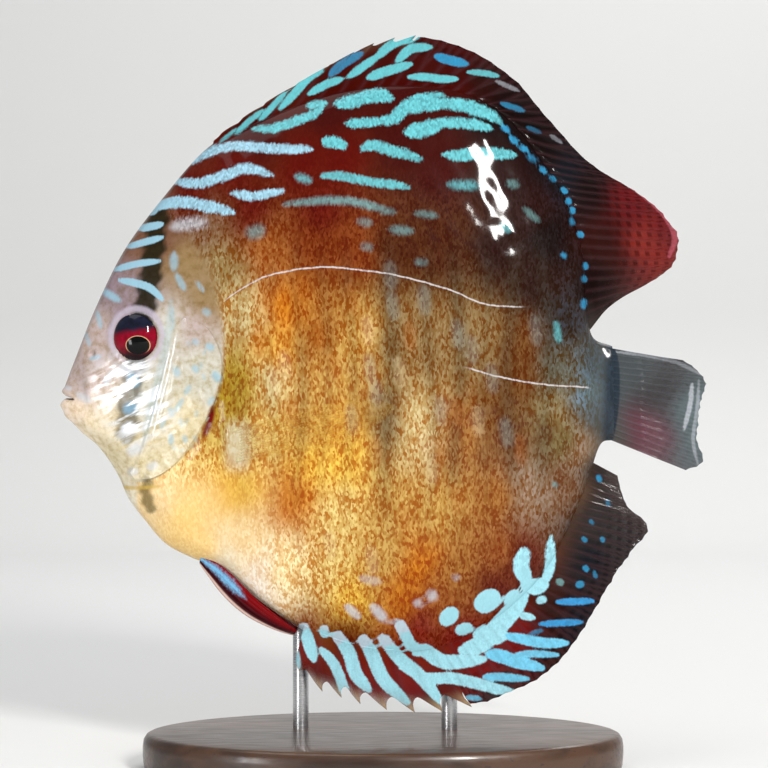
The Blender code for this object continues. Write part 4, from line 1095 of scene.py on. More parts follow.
def edge_fin(name, rays, spines, soft, spiny_share, web, height, seed, clear_at, horny):
    """Fin on the back edge (height 1) or the belly edge (height 0), sunk into the skin. The
    spines take up the first spiny_share of its guide rays; web is how far the skin between
    them reaches out, and horny how pale their tips are."""
    rows = fin_rows(FIN_ROWS)
    position, ridge, off, spiny = ray_profile(spines + soft, spines, rows)
    along = np.interp(position, (0.0, spines - 1.0, position[-1]), (0.0, spiny_share, 1.0))
    guide = share(rays, along)
    root_x, root_z = edge(guide[:, 0], height, -SINK)
    reach = outer_reach(position, off, spiny, web, seed)
    place = rows[:, None] * reach[None, :]
    claw = CLAW_LEAN * (1.0 - 2.0 * np.abs(off)) ** 2 * spiny
    x = mix(root_x, guide[:, 1], place) + claw[None, :] * smoothstep(place, 0.7, 1.0)
    z = mix(root_z, guide[:, 2], place)
    thick = np.where(spiny, SPINE_HALF, RAY_HALF)[None, :] * smoothstep(place, 0.0, 0.4)
    ray_half = mix(thick, TIP_HALF, place ** 0.8)
    from_root = np.hypot(x - x[:1], z - z[:1])
    sheath = (ROOT_HALF - WEB_HALF) * np.exp(-(from_root - SINK) / ROOT_FADE)
    sheath = sheath * mix(1.0, 0.5, smoothstep(guide[:, 0], 14.5, 17.5))[None, :]
    half = WEB_HALF + sheath + ridge * ray_half
    half = half * mix(1.0, 0.45, smoothstep(place, 0.93, 1.0))
    waves = 0.22 * np.sin(position * 1.9)[None, :] * smoothstep(place, 0.35, 1.0)
    middle = -LOBE_BEND * place ** 2 * np.sin(np.pi * position / position[-1]) ** 2 + waves
    front, back = two_faces(x, middle, half, z)
    clear = clear_at(along, place)
    tips = horny * smoothstep(place, 0.7, 0.98) * np.where(spiny, 1.0, 0.0)[None, :]
    net = np.where(spiny, 0.0, 1.0)[None, :]
    painted = [fin_paint(grid, ridge, clear, position, tips, net) for grid in (front, back)]
    return sheet(name, front, back, *painted, flip=height < 0.5)


def dorsal_clear(along, place):
    """Clear where the soft rear part is thin, opaque over the spines and near the root."""
    rear = smoothstep(along, 0.62, 0.8)[None, :]
    return rear * smoothstep(place, 0.25, 0.7) * 0.12 + 0.05 * smoothstep(place, 0.8, 1.0)


def anal_clear(along, place):
    """Clear in the rear lobe and in the notches between the spine tips."""
    rear = smoothstep(along, 0.72, 0.9)[None, :] * smoothstep(place, 0.3, 0.8) * 0.2
    front = (1.0 - smoothstep(along, 0.25, 0.4))[None, :] * smoothstep(place, 0.55, 0.95) * 0.6
    return rear + front + 0.05 * smoothstep(place, 0.8, 1.0)


dorsal = edge_fin("dorsal_fin_skin", DORSAL_RAYS, spines=9, soft=31, spiny_share=0.27, web=0.9,
                  height=1.0, seed=3, clear_at=dorsal_clear, horny=0.15)
anal = edge_fin("anal_fin_skin", ANAL_RAYS, spines=8, soft=28, spiny_share=0.42, web=0.76,
                height=0.0, seed=5, clear_at=anal_clear, horny=0.9)
print("dorsal faces", len(dorsal.data.polygons), "anal faces", len(anal.data.polygons))

# %% Tail fin
TAIL_RAYS = 16
TAIL_CURL = 2.6
STEM_TOP, STEM_SPAN = 0.985, 0.97


def tail_fin():
    """Fan of rays from the tail stem whose rear rim curls to the left."""
    rows = fin_rows(TAIL_ROWS)
    position, ridge, off, spiny = ray_profile(TAIL_RAYS, 0, rows)
    along = position / position[-1]
    root_x, root_z, stem_half = body(TAIL_ROOT, STEM_TOP - STEM_SPAN * along)
    tips = share(TAIL_TIPS, along)
    place = rows[:, None] * outer_reach(position, off, spiny, 1.0, 8)[None, :]
    x = mix(root_x - SINK, tips[:, 0], place)
    z = mix(root_z, tips[:, 1], place)
    flesh = (stem_half - 0.3)[None, :] * (1.0 - smoothstep(place, 0.0, 0.4))
    half = WEB_HALF + flesh + ridge * 0.3 * (1.0 - 0.6 * place)
    half = half * mix(1.0, 0.5, smoothstep(place, 0.95, 1.0))
    waves = 0.25 * np.sin(position * 1.3 + 0.5)[None, :] * smoothstep(place, 0.3, 0.9)
    middle = -TAIL_CURL * smoothstep(place, 0.6, 1.12) + waves
    front, back = two_faces(x, middle, half, z)
    clear = 0.2 * smoothstep(place, 0.15, 0.5)
    painted = [fin_paint(grid, ridge, clear, position) for grid in (front, back)]
    return sheet("tail_fin_skin", front, back, *painted)


tail = tail_fin()
print("tail faces", len(tail.data.polygons))

# %% Pectoral fins
PECTORAL_ROOT = ((-33.4, 75.3), (-33.3, 72.0), (-33.1, 68.7), (-32.7, 65.4))
PECTORAL_TIPS = ((-7.6, 80.0), (0.4, 79.8), (2.2, 77.2), (-6.4, 71.2))
PECTORAL_RAYS = 13
PECTORAL_GAP, PECTORAL_LIFT = 0.3, 3.6
ROOT_MIDDLE, ROOT_SPREAD, ROOT_OFF = 70.3, 0.72, 1.6


def pectoral_fin(side, name):
    """Clear fan that leaves the pad on the flank and stands off it by 3.6 mm at its tip."""
    rows = fin_rows(PECTORAL_ROWS)
    position, ridge, off, spiny = ray_profile(PECTORAL_RAYS, 0, rows)
    along = position / position[-1]
    root, tip = share(PECTORAL_ROOT, along), share(PECTORAL_TIPS, along)
    place = rows[:, None] * outer_reach(position, off, spiny, 1.0, 9)[None, :]
    x = mix(root[:, 0] + ROOT_OFF, tip[:, 0], place)
    z = mix(mix(ROOT_MIDDLE, root[:, 1], ROOT_SPREAD), tip[:, 1], place)
    half = 0.09 + 0.4 * (1.0 - smoothstep(place, 0.0, 0.12)) + ridge * 0.1 * (1.0 - 0.5 * place)
    wave = 0.2 * np.sin(position * 1.1)[None, :] * place
    middle = flank(x, z) + PECTORAL_GAP + PECTORAL_LIFT * smoothstep(place, 0.0, 1.0) + wave
    inner, outer = two_faces(x, middle, half, z, side)
    pale = np.ones(x.shape + (1,)) * linear(PIGMENTS["bone"])
    ground = mix(pale, linear(PIGMENTS["honey"]), smoothstep(place, 0.0, 0.3)[..., None])
    made = {"ground": ground, "glaze": np.zeros(x.shape + (4,)), "stroke": np.full(x.shape, -9.0),
            "ray": ridge * (1.0 - 0.75 * place), "far": place,
            "clear": mix(0.93, 0.995, place ** 0.7) * smoothstep(place, 0.0, 0.08),
            "number": np.broadcast_to(position[None, :], ridge.shape), "net": np.zeros(x.shape)}
    return sheet(name, outer, inner, made, made, flip=side > 0)


pectorals = [pectoral_fin(-1.0, "pectoral_fin_skin_left"),
             pectoral_fin(1.0, "pectoral_fin_skin_right")]
print("pectoral faces", len(pectorals[0].data.polygons))

# %% Pelvic fins
PELVIC_PLACES = (8.3, 10.65)
PELVIC_SINK, PELVIC_WIDTH, PELVIC_SIDE = (-1.2, 0.4), 4.6, (1.3, 2.7)
PELVIC_RAYS = 6
CRIMSON, DEEP_CRIMSON = linear((0.50, 0.03, 0.05)), linear((0.20, 0.02, 0.04))
PALE_SPINE, BLUE_STREAK = linear((0.78, 0.66, 0.62)), (*linear((0.45, 0.72, 0.88)), 0.9)


def pelvic_fin(side, name):
    """Narrow folded blade below the belly edge, led by a pale spine. Its width along the edge
    follows 0.1 + 0.9 sin(pi (0.05 + 0.92 s))^0.7."""
    rows = np.linspace(0.0, 1.0, PELVIC_ROWS)
    position, ridge, _, _ = ray_profile(PELVIC_RAYS, 0, rows)
    across = (position / position[-1])[None, :]
    along = rows[:, None]
    place = mix(PELVIC_PLACES[0], PELVIC_PLACES[1], along)
    inner = mix(*PELVIC_SINK, along)
    width = PELVIC_WIDTH * (0.1 + 0.9 * np.sin(np.pi * (0.05 + 0.92 * along)) ** 0.7)
    x, z = edge(place, 0.0, inner + width * across)
    half = (0.42 - 0.25 * along) * (1.0 - 0.5 * smoothstep(across, 0.0, 0.2)) + 0.12 * ridge
    half = np.maximum(half, 0.45 * (1.0 - 0.7 * along) * smoothstep(across, 0.84, 0.95))
    half = half * np.sqrt(np.clip(1.0 - ((across - 0.5) * 1.96) ** 8, 0.02, 1.0))
    middle = mix(*PELVIC_SIDE, along)
    back, front = two_faces(x, middle, half, z, side)
    flat, none = np.ones_like(x), np.zeros_like(x)
    red = mix(CRIMSON, DEEP_CRIMSON, (smoothstep(across, 0.2, 0.7) * flat)[..., None])
    ground = mix(red, PALE_SPINE, (smoothstep(across, 0.8, 0.9) * flat)[..., None])
    streak = 1.3 - np.abs((across - 0.35) * 6.0) - 3.0 * smoothstep(along, 0.45, 0.75)
    made = {"ground": ground, "glaze": flat[..., None] * np.array(BLUE_STREAK), "stroke": streak,
            "ray": ridge, "clear": 0.2 * smoothstep(along, 0.8, 1.0) * flat,
            "far": none, "number": none, "net": none}
    return sheet(name, front, back, made, made, flip=side < 0)


pelvics = [pelvic_fin(-1.0, "pelvic_fin_skin_left"), pelvic_fin(1.0, "pelvic_fin_skin_right")]
print("pelvic faces", len(pelvics[0].data.polygons))

# %% [markdown]
# ## Eyes
# A fish has no lids. The eye is one glossy ball under a wet coat, painted with a red iris, a dark
# cap and a gold-rimmed pupil that looks slightly down. The ball is a flattened sphere. Its
# colours are rings round the pupil's own centre, which the material works out from the place
# on the object.

# %% Eye pieces
PUPIL_X, PUPIL_Z = -52.0, 91.5
PUPIL_WIDE, PUPIL_TALL = 2.5, 1.95
EYE_TURNS, EYE_STEPS = 96, 64
EYE_SLACK, LENS_RISE, LENS_WIDTH = 0.05, 0.25, 2.6


def eye(side, name):
    """Flattened ball: x and z reach the eye radius, y its depth. The poles point along Y, and
    a low bell over the pupil makes the lens."""
    turn = np.linspace(0.0, 2 * np.pi, EYE_TURNS, endpoint=False)
    lean = np.linspace(0.0, np.pi, EYE_STEPS + 2)[1:-1]
    x = np.sin(lean)[:, None] * np.cos(turn)[None, :]
    z = np.sin(lean)[:, None] * np.sin(turn)[None, :]
    y = np.cos(lean)[:, None] * np.ones_like(turn)[None, :]
    middle = float(flank(EYE_X, EYE_Z)) - EYE_SUNK
    centre = np.array([EYE_X, side * middle, EYE_Z])
    size = np.array([EYE_RADIUS * EYE_OVAL[0], EYE_DEPTH, EYE_RADIUS * EYE_OVAL[1]]) - EYE_SLACK
    from_pupil = np.hypot(x * EYE_RADIUS - (PUPIL_X - EYE_X), z * EYE_RADIUS - (PUPIL_Z - EYE_Z))
    points = centre + np.stack([x, side * y, z], axis=-1) * size
    points[..., 1] += side * LENS_RISE * hill(from_pupil, LENS_WIDTH) * (y > 0)
    poles = centre + np.array([[0.0, side * size[1], 0.0], [0.0, -side * size[1], 0.0]])
    points = np.concatenate([points.reshape(-1, 3), poles])
    return build_mesh(name, points, ring_faces(EYE_STEPS, EYE_TURNS, flip=side < 0))


eyes = [eye(-1.0, "eye_ball_left"), eye(1.0, "eye_ball_right")]
print("eye faces", len(eyes[0].data.polygons))

# %% [markdown]
# ## Stand
# A museum fish stands on rods. The base is an oval of dark wood with a rounded edge, and the
# rods are brushed steel; both are turned profiles.

# %% Stand pieces
BASE_HALF = (52.0, 29.0)
BASE_HEIGHT = 8.0
BASE_PROFILE = ((0.0, 0.0), (0.35, 0.0), (0.7, 0.0), (0.975, 0.0), (0.988, 0.12), (0.993, 0.6),
                (0.996, 1.2), (1.0, 3.4), (1.0, 5.2), (0.996, 6.6), (0.985, 7.5), (0.972, 7.85),
                (0.955, 8.0), (0.7, 8.0), (0.35, 8.0), (0.0, 8.0))
ROD_RADIUS, ROD_SIDE = 1.75, 4.3
ROD_PLACES = {"stand_rod_front": -18.0, "stand_rod_rear": 14.5}
ROD_LOW, ROD_HIGH, ROD_BEVEL = 3.0, 50.0, 0.2
BASE_TURNS, ROD_TURNS = 192, 48


def turned(name, profile, centre, reach, turns):
    """Profile of (share of the reach, height) carried round an oval of the given reach."""
    turn = np.linspace(0.0, 2 * np.pi, turns, endpoint=False)
    profile = np.asarray(profile)
    middle = profile[1:-1]
    x = centre[0] + reach[0] * middle[:, :1] * np.cos(turn)[None, :]
    y = centre[1] + reach[1] * middle[:, :1] * np.sin(turn)[None, :]
    z = middle[:, 1:] * np.ones_like(turn)[None, :]
    points = np.stack([x, y, z], axis=-1).reshape(-1, 3)
    poles = np.array([[*centre, profile[0, 1]], [*centre, profile[-1, 1]]])
    return build_mesh(name, np.concatenate([points, poles]), ring_faces(len(middle), turns))


base = turned("stand_base_wood", BASE_PROFILE, (0.0, 0.0), BASE_HALF, BASE_TURNS)
ROD_PROFILE = ((0.0, ROD_LOW), (0.9, ROD_LOW), (1.0, ROD_LOW + ROD_BEVEL), (1.0, BASE_HEIGHT),
               (1.0, ROD_HIGH - ROD_BEVEL), (0.9, ROD_HIGH), (0.0, ROD_HIGH))
rods = {name: turned(name + "_steel", ROD_PROFILE, (x, ROD_SIDE), (ROD_RADIUS, ROD_RADIUS),
                     ROD_TURNS)
        for name, x in ROD_PLACES.items()}
print("rods", sorted(rods))

# %% [markdown]
# ## Materials
# A wet fish is pigment under a film of water: the pigment is the base colour, the film is the
# coat of the Principled shader. Scales are small, so they live in the bump and in a mosaic of
# lighter and darker cells, which a node group gives to every skin material.

# %% Nodes and materials


def feed(node, inputs):
    """Set inputs of a node, or link them where the value is a socket."""
    for key, value in inputs.items():
        if isinstance(value, bpy.types.NodeSocket):
            node.id_data.links.new(value, node.inputs[key])
        else:
            node.inputs[key].default_value = value


def add(tree, kind, inputs=None, **settings):
    """Node with its settings made and its inputs set or linked."""
    node = tree.nodes.new(kind)
    for key, value in settings.items():
        setattr(node, key, value)
    feed(node, inputs or {})
    return node


def new_material(name):
    """Empty node material with its Principled shader; returns material, tree and shader."""
    made = bpy.data.materials.new(name)
    made.use_nodes = True
    return made, made.node_tree, made.node_tree.nodes["Principled BSDF"]


print("node builder ready")

# %% Value and colour helpers


def math_node(tree, operation, first, second=0.0, clamp=False):
    """Result socket of one Math node."""
    return add(tree, "ShaderNodeMath", {0: first, 1: second}, operation=operation,
               use_clamp=clamp).outputs[0]


def plus(tree, first, second, clamp=False):
    """Sum of two values."""
    return math_node(tree, "ADD", first, second, clamp)


def minus(tree, first, second, clamp=False):
    """First value less the second."""
    return math_node(tree, "SUBTRACT", first, second, clamp)


def times(tree, first, second, clamp=False):
    """Product of two values."""
    return math_node(tree, "MULTIPLY", first, second, clamp)


def off_half(tree, value, gain):
    """How far a value lies above 0.5, times a gain."""
    return times(tree, minus(tree, value, 0.5), gain)


def ramp(tree, value, low, high, to_low=0.0, to_high=1.0):
    """Smooth Map Range from low..high to to_low..to_high."""
    return add(tree, "ShaderNodeMapRange", {0: value, 1: low, 2: high, 3: to_low, 4: to_high},
               interpolation_type="SMOOTHSTEP").outputs[0]


def mix_colour(tree, factor, first, second, kind="MIX"):
    """Result socket of a colour Mix node."""
    return add(tree, "ShaderNodeMix", {0: factor, 6: first, 7: second}, data_type="RGBA",
               blend_type=kind).outputs[2]


def tinted(tree, colour, tint):
    """Colour multiplied by a tint."""
    return mix_colour(tree, 1.0, colour, tint, "MULTIPLY")


def grey(tree, value):
    """Grey of a brightness."""
    return add(tree, "ShaderNodeCombineColor", {0: value, 1: value, 2: value}).outputs[0]


print("value and colour helpers ready")

# %% Texture helpers


def attribute(tree, name):
    """Attribute node for one stored name."""
    return add(tree, "ShaderNodeAttribute", attribute_name=name)


def stored(tree, name):
    """Number stored under a name."""
    return attribute(tree, name).outputs["Fac"]


def object_place(tree):
    """Place on the object, in metres."""
    return tree.nodes.new("ShaderNodeTexCoord").outputs["Object"]


def vector_node(tree, operation, first, second):
    """One Vector Math node."""
    return add(tree, "ShaderNodeVectorMath", {0: first, 1: second}, operation=operation)


def stretched(tree, vector, factors):
    """Vector with each axis times its own factor."""
    return vector_node(tree, "MULTIPLY", vector, factors).outputs[0]


def noise(tree, vector, scale, detail, rough=0.5, distortion=0.0):
    """Noise texture node over a vector."""
    return add(tree, "ShaderNodeTexNoise", {"Vector": vector, "Scale": scale, "Detail": detail,
                                            "Roughness": rough, "Distortion": distortion})


def bumped(tree, height, strength, distance):
    """Normal tipped by a height."""
    return add(tree, "ShaderNodeBump", {"Height": height, "Strength": strength,
                                        "Distance": distance}).outputs[0]


def wet(shader, weight, rough=0.06):
    """Film of water: a coat of index 1.33, over pigment that mirrors little by itself."""
    feed(shader, {"Coat Weight": weight, "Coat Roughness": rough, "Coat IOR": 1.33,
                  "Specular IOR Level": 0.01})


print("texture helpers ready")

# %% Scale mosaic group
CELL = (0.00036, 0.00036, 0.00080)
CELL_WANDER, CELL_RANDOM = 0.0005, 0.85
MOSAIC_VALUES = ("Cell", "Height", "Patch", "Fine", "Grain")


def scale_mosaic():
    """Group: cells 0.36 by 0.8 mm, taller than wide. Puts out a random value per cell, the
    height of the cell for the bump, mottles of 2 mm, finer ones, and a grain."""
    tree = bpy.data.node_groups.new("scale_mosaic", "ShaderNodeTree")
    for name in MOSAIC_VALUES:
        tree.interface.new_socket(name, in_out="OUTPUT", socket_type="NodeSocketFloat")
    out = tree.nodes.new("NodeGroupOutput")
    where = object_place(tree)
    wander = noise(tree, where, 420.0, 2.0).outputs["Color"]
    shift = vector_node(tree, "SUBTRACT", wander, (0.5, 0.5, 0.5)).outputs[0]
    small = add(tree, "ShaderNodeVectorMath", {0: shift, "Scale": CELL_WANDER}, operation="SCALE")
    moved = vector_node(tree, "ADD", where, small.outputs[0]).outputs[0]
    per_cell = stretched(tree, moved, tuple(1.0 / side for side in CELL))
    cells = add(tree, "ShaderNodeTexVoronoi", {"Vector": per_cell, "Scale": 1.0,
                                               "Randomness": CELL_RANDOM})
    random = add(tree, "ShaderNodeSeparateColor", {0: cells.outputs["Color"]})
    upright = stretched(tree, where, (1.0, 1.0, 0.55))
    feed(out, {"Cell": random.outputs[0],
               "Height": minus(tree, 1.0, cells.outputs["Distance"], clamp=True),
               "Patch": noise(tree, upright, 500.0, 4.0, 0.65).outputs[0],
               "Fine": noise(tree, where, 700.0, 3.0, 0.6).outputs[0],
               "Grain": noise(tree, where, 2600.0, 2.0).outputs[0]})
    return tree


mosaic_group = scale_mosaic()
print("group outputs", [item.name for item in mosaic_group.interface.items_tree])

# %% Glaze group
GLAZE_SOCKETS = (("Ground", "INPUT", "NodeSocketColor"), ("Ragged", "INPUT", "NodeSocketFloat"),
                 ("Colour", "OUTPUT", "NodeSocketColor"), ("Mask", "OUTPUT", "NodeSocketFloat"))


def glaze_group():
    """Group: takes a ground colour and lays the stored stroke over it. The depth is in pixels;
    cells and grain shift it a little so that the edge follows the scales."""
    tree = bpy.data.node_groups.new("glaze_over", "ShaderNodeTree")
    for name, way, kind in GLAZE_SOCKETS:
        tree.interface.new_socket(name, in_out=way, socket_type=kind)
    inside, out = tree.nodes.new("NodeGroupInput"), tree.nodes.new("NodeGroupOutput")
    ragged = inside.outputs["Ragged"]
    glaze = attribute(tree, "glaze")
    cells = add(tree, "ShaderNodeGroup", node_tree=mosaic_group)
    cell = cells.outputs["Cell"]
    uneven = plus(tree, off_half(tree, cell, 0.75), off_half(tree, cells.outputs["Patch"], 1.8))
    jittered = plus(tree, stored(tree, "stroke"), times(tree, uneven, ragged))
    depth = plus(tree, jittered, off_half(tree, cells.outputs["Grain"], 1.4))
    blur = plus(tree, stored(tree, "soft"), times(tree, ragged, 0.35))
    low = minus(tree, -0.6, blur)
    high = plus(tree, 0.9, times(tree, blur, 1.5))
    mask = times(tree, ramp(tree, depth, low, high), glaze.outputs["Alpha"])
    stipple = times(tree, minus(tree, cell, 0.6), times(tree, ragged, 0.22))
    tone = tinted(tree, glaze.outputs["Color"], grey(tree, plus(tree, 1.0, stipple)))
    feed(out, {"Colour": mix_colour(tree, mask, inside.outputs["Ground"], tone), "Mask": mask})
    return tree


glaze_over = glaze_group()
print("glaze group takes and gives", [name for name, _, _ in GLAZE_SOCKETS])

# %% Skin colours in the material
LIGHT_SCALE, DARK_SCALE = (1.32, 1.60, 2.2, 1.0), (0.72, 0.40, 0.14, 1.0)
# The silver is the metallic tint of the cheek's glare, and is also painted into its base colour as a
# painted highlight.
HAZE, SILVER_AND_PAINTED_GLARE = (0.002, 0.002, 0.002, 1.0), (0.86, 0.90, 0.95, 1.0)
# Range of the fine noise, and the tint that it brings on the face.
FACE_MOTTLES = ((0.45, 0.7, (1.12, 1.16, 1.28, 1.0)), (0.52, 0.3, (0.80, 0.75, 0.63, 1.0)))
STREAK_LONG, STREAK_WIDE = 95.0, 420.0


def streaks(tree):
    """0 to 1 in slanting streaks about 11 by 2 mm: silvery scale edges on the cheek, whose glare is
    partly a painted highlight.
    """
    where = object_place(tree)
    turn = math.radians(GLARE_TILT)
    axes = ((math.cos(turn), 0.0, math.sin(turn)), (math.sin(turn), 0.0, -math.cos(turn)))
    along, beside = (vector_node(tree, "DOT_PRODUCT", where, axis).outputs["Value"]
                     for axis in axes)
    grid = add(tree, "ShaderNodeCombineXYZ", {0: times(tree, along, STREAK_LONG),
                                              1: times(tree, beside, STREAK_WIDE)})
    return ramp(tree, noise(tree, grid.outputs[0], 1.0, 3.0, 0.6).outputs[0], 0.43, 0.56)


def scaled_ground(tree, cells):
    """Ground colour broken into light and dark scales on the flank, and mottled on the face."""
    ground = attribute(tree, "ground").outputs["Color"]
    scaly, face = stored(tree, "scaly"), stored(tree, "face")
    spread = plus(tree, times(tree, cells.outputs["Cell"], 0.95),
                  off_half(tree, cells.outputs["Patch"], 1.6))
    light = times(tree, ramp(tree, spread, 0.44, 0.98), scaly)
    dark = times(tree, ramp(tree, spread, 0.50, 0.04), scaly)
    pale = mix_colour(tree, 1.0, tinted(tree, ground, LIGHT_SCALE), HAZE, "ADD")
    colour = mix_colour(tree, light, ground, pale)
    colour = mix_colour(tree, dark, colour, tinted(tree, ground, DARK_SCALE))
    for low, high, tint in FACE_MOTTLES:
        weight = times(tree, ramp(tree, cells.outputs["Fine"], low, high), face)
        colour = mix_colour(tree, weight, colour, tinted(tree, colour, tint))
    return colour


def with_thin_lines(tree, cells, colour):
    """Colour with the thin lines over it, each wobbling and beaded from scale to scale: the
    lateral lines, and the painted highlights along the gill cover's ridge.
    """
    wobble = off_half(tree, cells.outputs["Patch"], 2.5)
    beads = ramp(tree, cells.outputs["Cell"], 0.0, 0.6, 0.5, 0.95)
    for number, (_, _, pale_line) in enumerate(THIN_LINES):
        away = stored(tree, "line_%d" % number)
        present = stored(tree, "line_on_%d" % number)
        near = math_node(tree, "ABSOLUTE", plus(tree, away, wobble))
        on_line = times(tree, ramp(tree, near, 1.2, 0.3), times(tree, present, beads))
        colour = mix_colour(tree, on_line, colour, pale_line)
    return colour


print("face mottles", len(FACE_MOTTLES))

# %% Skin material
SKIN_FILM = 0.45


def skin_material():
    """Broken ground, thin lines, strokes and silver glare, partly a painted highlight, under a wet
    coat, with low scales.
    """
    made, tree, shader = new_material("wet_skin")
    cells = add(tree, "ShaderNodeGroup", node_tree=mosaic_group)
    colour = with_thin_lines(tree, cells, scaled_ground(tree, cells))
    over = add(tree, "ShaderNodeGroup", {"Ground": colour, "Ragged": stored(tree, "ragged")},
               node_tree=glaze_over)
    glare = times(tree, streaks(tree), stored(tree, "sheen"))
    # Painted highlight: where the cheek glares, the base colour turns pale silver as well as metallic.
    silver_and_painted_glare = mix_colour(tree, times(tree, glare, 0.8), over.outputs["Colour"], SILVER_AND_PAINTED_GLARE)
    height = plus(tree, times(tree, cells.outputs["Height"], stored(tree, "scaly")),
                  times(tree, cells.outputs["Grain"], 0.25))
    feed(shader, {"Base Color": silver_and_painted_glare,
                  "Metallic": times(tree, glare, 0.6),
                  "Roughness": ramp(tree, cells.outputs["Patch"], 0.2, 0.8, 0.24, 0.4),
                  "Normal": bumped(tree, height, 0.2, 0.00012)})
    wet(shader, SKIN_FILM)
    return made


skin_finish = skin_material()
print("made", skin_finish.name)

# %% Fin material
CELL_ROWS, ROW_SHIFT = 2.8, 2.1
NET_DARK = (0.35, 0.28, 0.30, 1.0)


def fin_net(tree, far, weight):
    """Rows of dark cells: a sine of the millimetres from the root, shifted from ray to ray and
    fading in over the first 14 mm to the given weight."""
    number = math_node(tree, "FLOOR", stored(tree, "number"))
    turn = plus(tree, times(tree, far, CELL_ROWS), times(tree, number, ROW_SHIFT))
    row = ramp(tree, math_node(tree, "SINE", turn), -0.2, 0.6)
    weave = ramp(tree, far, 6.0, 14.0, 0.0, weight)
    return times(tree, row, times(tree, stored(tree, "net"), weave))


def fin_material(name, ray_dark, ray_light, ray_hold, net, film=0.35, ray_tint=0.3):
    """Membrane with darker or lighter rays and rows of dark cells between them, clear where
    stored; a ray hides ray_hold of what lies behind it. Strokes cover rays and cells, and the
    film of water thins out in patches near the root."""
    made, tree, shader = new_material(name)
    ray, clear, far = (stored(tree, word) for word in ("ray", "clear", "far"))
    cells = add(tree, "ShaderNodeGroup", node_tree=mosaic_group)
    over = add(tree, "ShaderNodeGroup", {"Ground": attribute(tree, "ground").outputs["Color"],
                                         "Ragged": 0.5}, node_tree=glaze_over)
    bare = minus(tree, 1.0, times(tree, over.outputs["Mask"], 0.75))
    between = times(tree, bare, minus(tree, 1.0, ray))
    netted = times(tree, fin_net(tree, far, net), between, clamp=True)
    rayed = times(tree, times(tree, ray, bare), ray_tint)
    tint = mix_colour(tree, rayed, over.outputs["Colour"],
                      mix_colour(tree, clear, ray_light, ray_dark))
    tint = mix_colour(tree, netted, tint, tinted(tree, tint, NET_DARK))
    grainy = grey(tree, ramp(tree, cells.outputs["Grain"], 0.25, 0.75, 0.92, 1.06))
    hidden = plus(tree, times(tree, ray, ray_hold), times(tree, netted, 0.5), clamp=True)
    hold = times(tree, clear, minus(tree, 1.0, hidden))
    dull = times(tree, ramp(tree, far, 5.5, 3.0), ramp(tree, cells.outputs["Patch"], 0.66, 0.52))
    wet(shader, film, 0.1)
    feed(shader, {"Base Color": tinted(tree, tint, grainy),
                  "Alpha": minus(tree, 1.0, hold, clamp=True),
                  "Roughness": ramp(tree, cells.outputs["Patch"], 0.2, 0.8, 0.22, 0.4),
                  "Normal": bumped(tree, cells.outputs["Grain"], 0.3, 0.0001),
                  "Coat Weight": times(tree, minus(tree, 1.0, dull), film)})
    return made


fin_finish = fin_material("wet_fin", ray_dark=(0.05, 0.03, 0.035, 1.0),
                          ray_light=(0.07, 0.025, 0.03, 1.0), ray_hold=0.6, net=0.85)
tail_finish = fin_material("smoky_fin", ray_dark=(0.07, 0.07, 0.08, 1.0),
                           ray_light=(0.2, 0.22, 0.25, 1.0), ray_hold=0.35, net=0.25,
                           ray_tint=0.14)
clear_fin_finish = fin_material("clear_fin", ray_dark=(0.34, 0.20, 0.05, 1.0),
                                ray_light=(0.66, 0.46, 0.16, 1.0), ray_hold=0.3, net=0.0,
                                film=0.12)
print("made", fin_finish.name, tail_finish.name, clear_fin_finish.name)

# %% Eye material
IRIS_DARK, IRIS_RED = (0.08, 0.001, 0.006, 1.0), (0.36, 0.002, 0.022, 1.0)
CAP_BLACK, CAP_NAVY = (0.002, 0.002, 0.004, 1.0), (0.014, 0.017, 0.04, 1.0)
IRIS_FOOT, GOLD = (0.012, 0.002, 0.004, 1.0), (0.60, 0.38, 0.20, 1.0)
PUPIL_BLACK = (0.002, 0.002, 0.002, 1.0)
# Millimetres above the middle of the eye or of the pupil over which each colour comes in.
CAP_FROM, FOOT_FROM, RIM_FROM = (1.3, 2.9), (-1.4, -3.4), (-1.8, -0.4)


def eye_material():
    """Rings round the pupil by Object coordinates: black pupil, gold rim, red iris, dark cap.
    The ring number is the distance from the pupil's middle in pupil radii."""
    made, tree, shader = new_material("glass_eye")
    where = object_place(tree)
    split = add(tree, "ShaderNodeSeparateXYZ", {0: where})
    level, up = split.outputs[0], split.outputs[2]
    x = math_node(tree, "DIVIDE", minus(tree, level, PUPIL_X * MM), PUPIL_WIDE * MM)
    z = math_node(tree, "DIVIDE", minus(tree, up, PUPIL_Z * MM), PUPIL_TALL * MM)
    ring = math_node(tree, "SQRT", plus(tree, times(tree, x, x), times(tree, z, z)))
    cloudy = noise(tree, where, 900.0, 3.0).outputs[0]
    height = plus(tree, up, times(tree, cloudy, 0.0012))
    tilted = minus(tree, height, times(tree, minus(tree, level, EYE_X * MM), 0.15))
    cap, foot = (ramp(tree, rise, (EYE_Z + low) * MM, (EYE_Z + high) * MM)
                 for rise, (low, high) in ((tilted, CAP_FROM), (height, FOOT_FROM)))
    iris = mix_colour(tree, cloudy, IRIS_DARK, IRIS_RED)
    iris = mix_colour(tree, cap, iris, mix_colour(tree, cloudy, CAP_BLACK, CAP_NAVY))
    iris = mix_colour(tree, foot, iris, IRIS_FOOT)
    rim = times(tree, ramp(tree, ring, 0.97, 1.0), ramp(tree, ring, 1.08, 1.03))
    upper = ramp(tree, up, (PUPIL_Z + RIM_FROM[0]) * MM, (PUPIL_Z + RIM_FROM[1]) * MM)
    iris = mix_colour(tree, times(tree, rim, upper), iris, GOLD)
    pupil = ramp(tree, ring, 1.0, 0.95)
    feed(shader, {"Base Color": mix_colour(tree, pupil, iris, PUPIL_BLACK), "Roughness": 0.12})
    wet(shader, 0.7)
    return made


eye_finish = eye_material()
print("made", eye_finish.name)

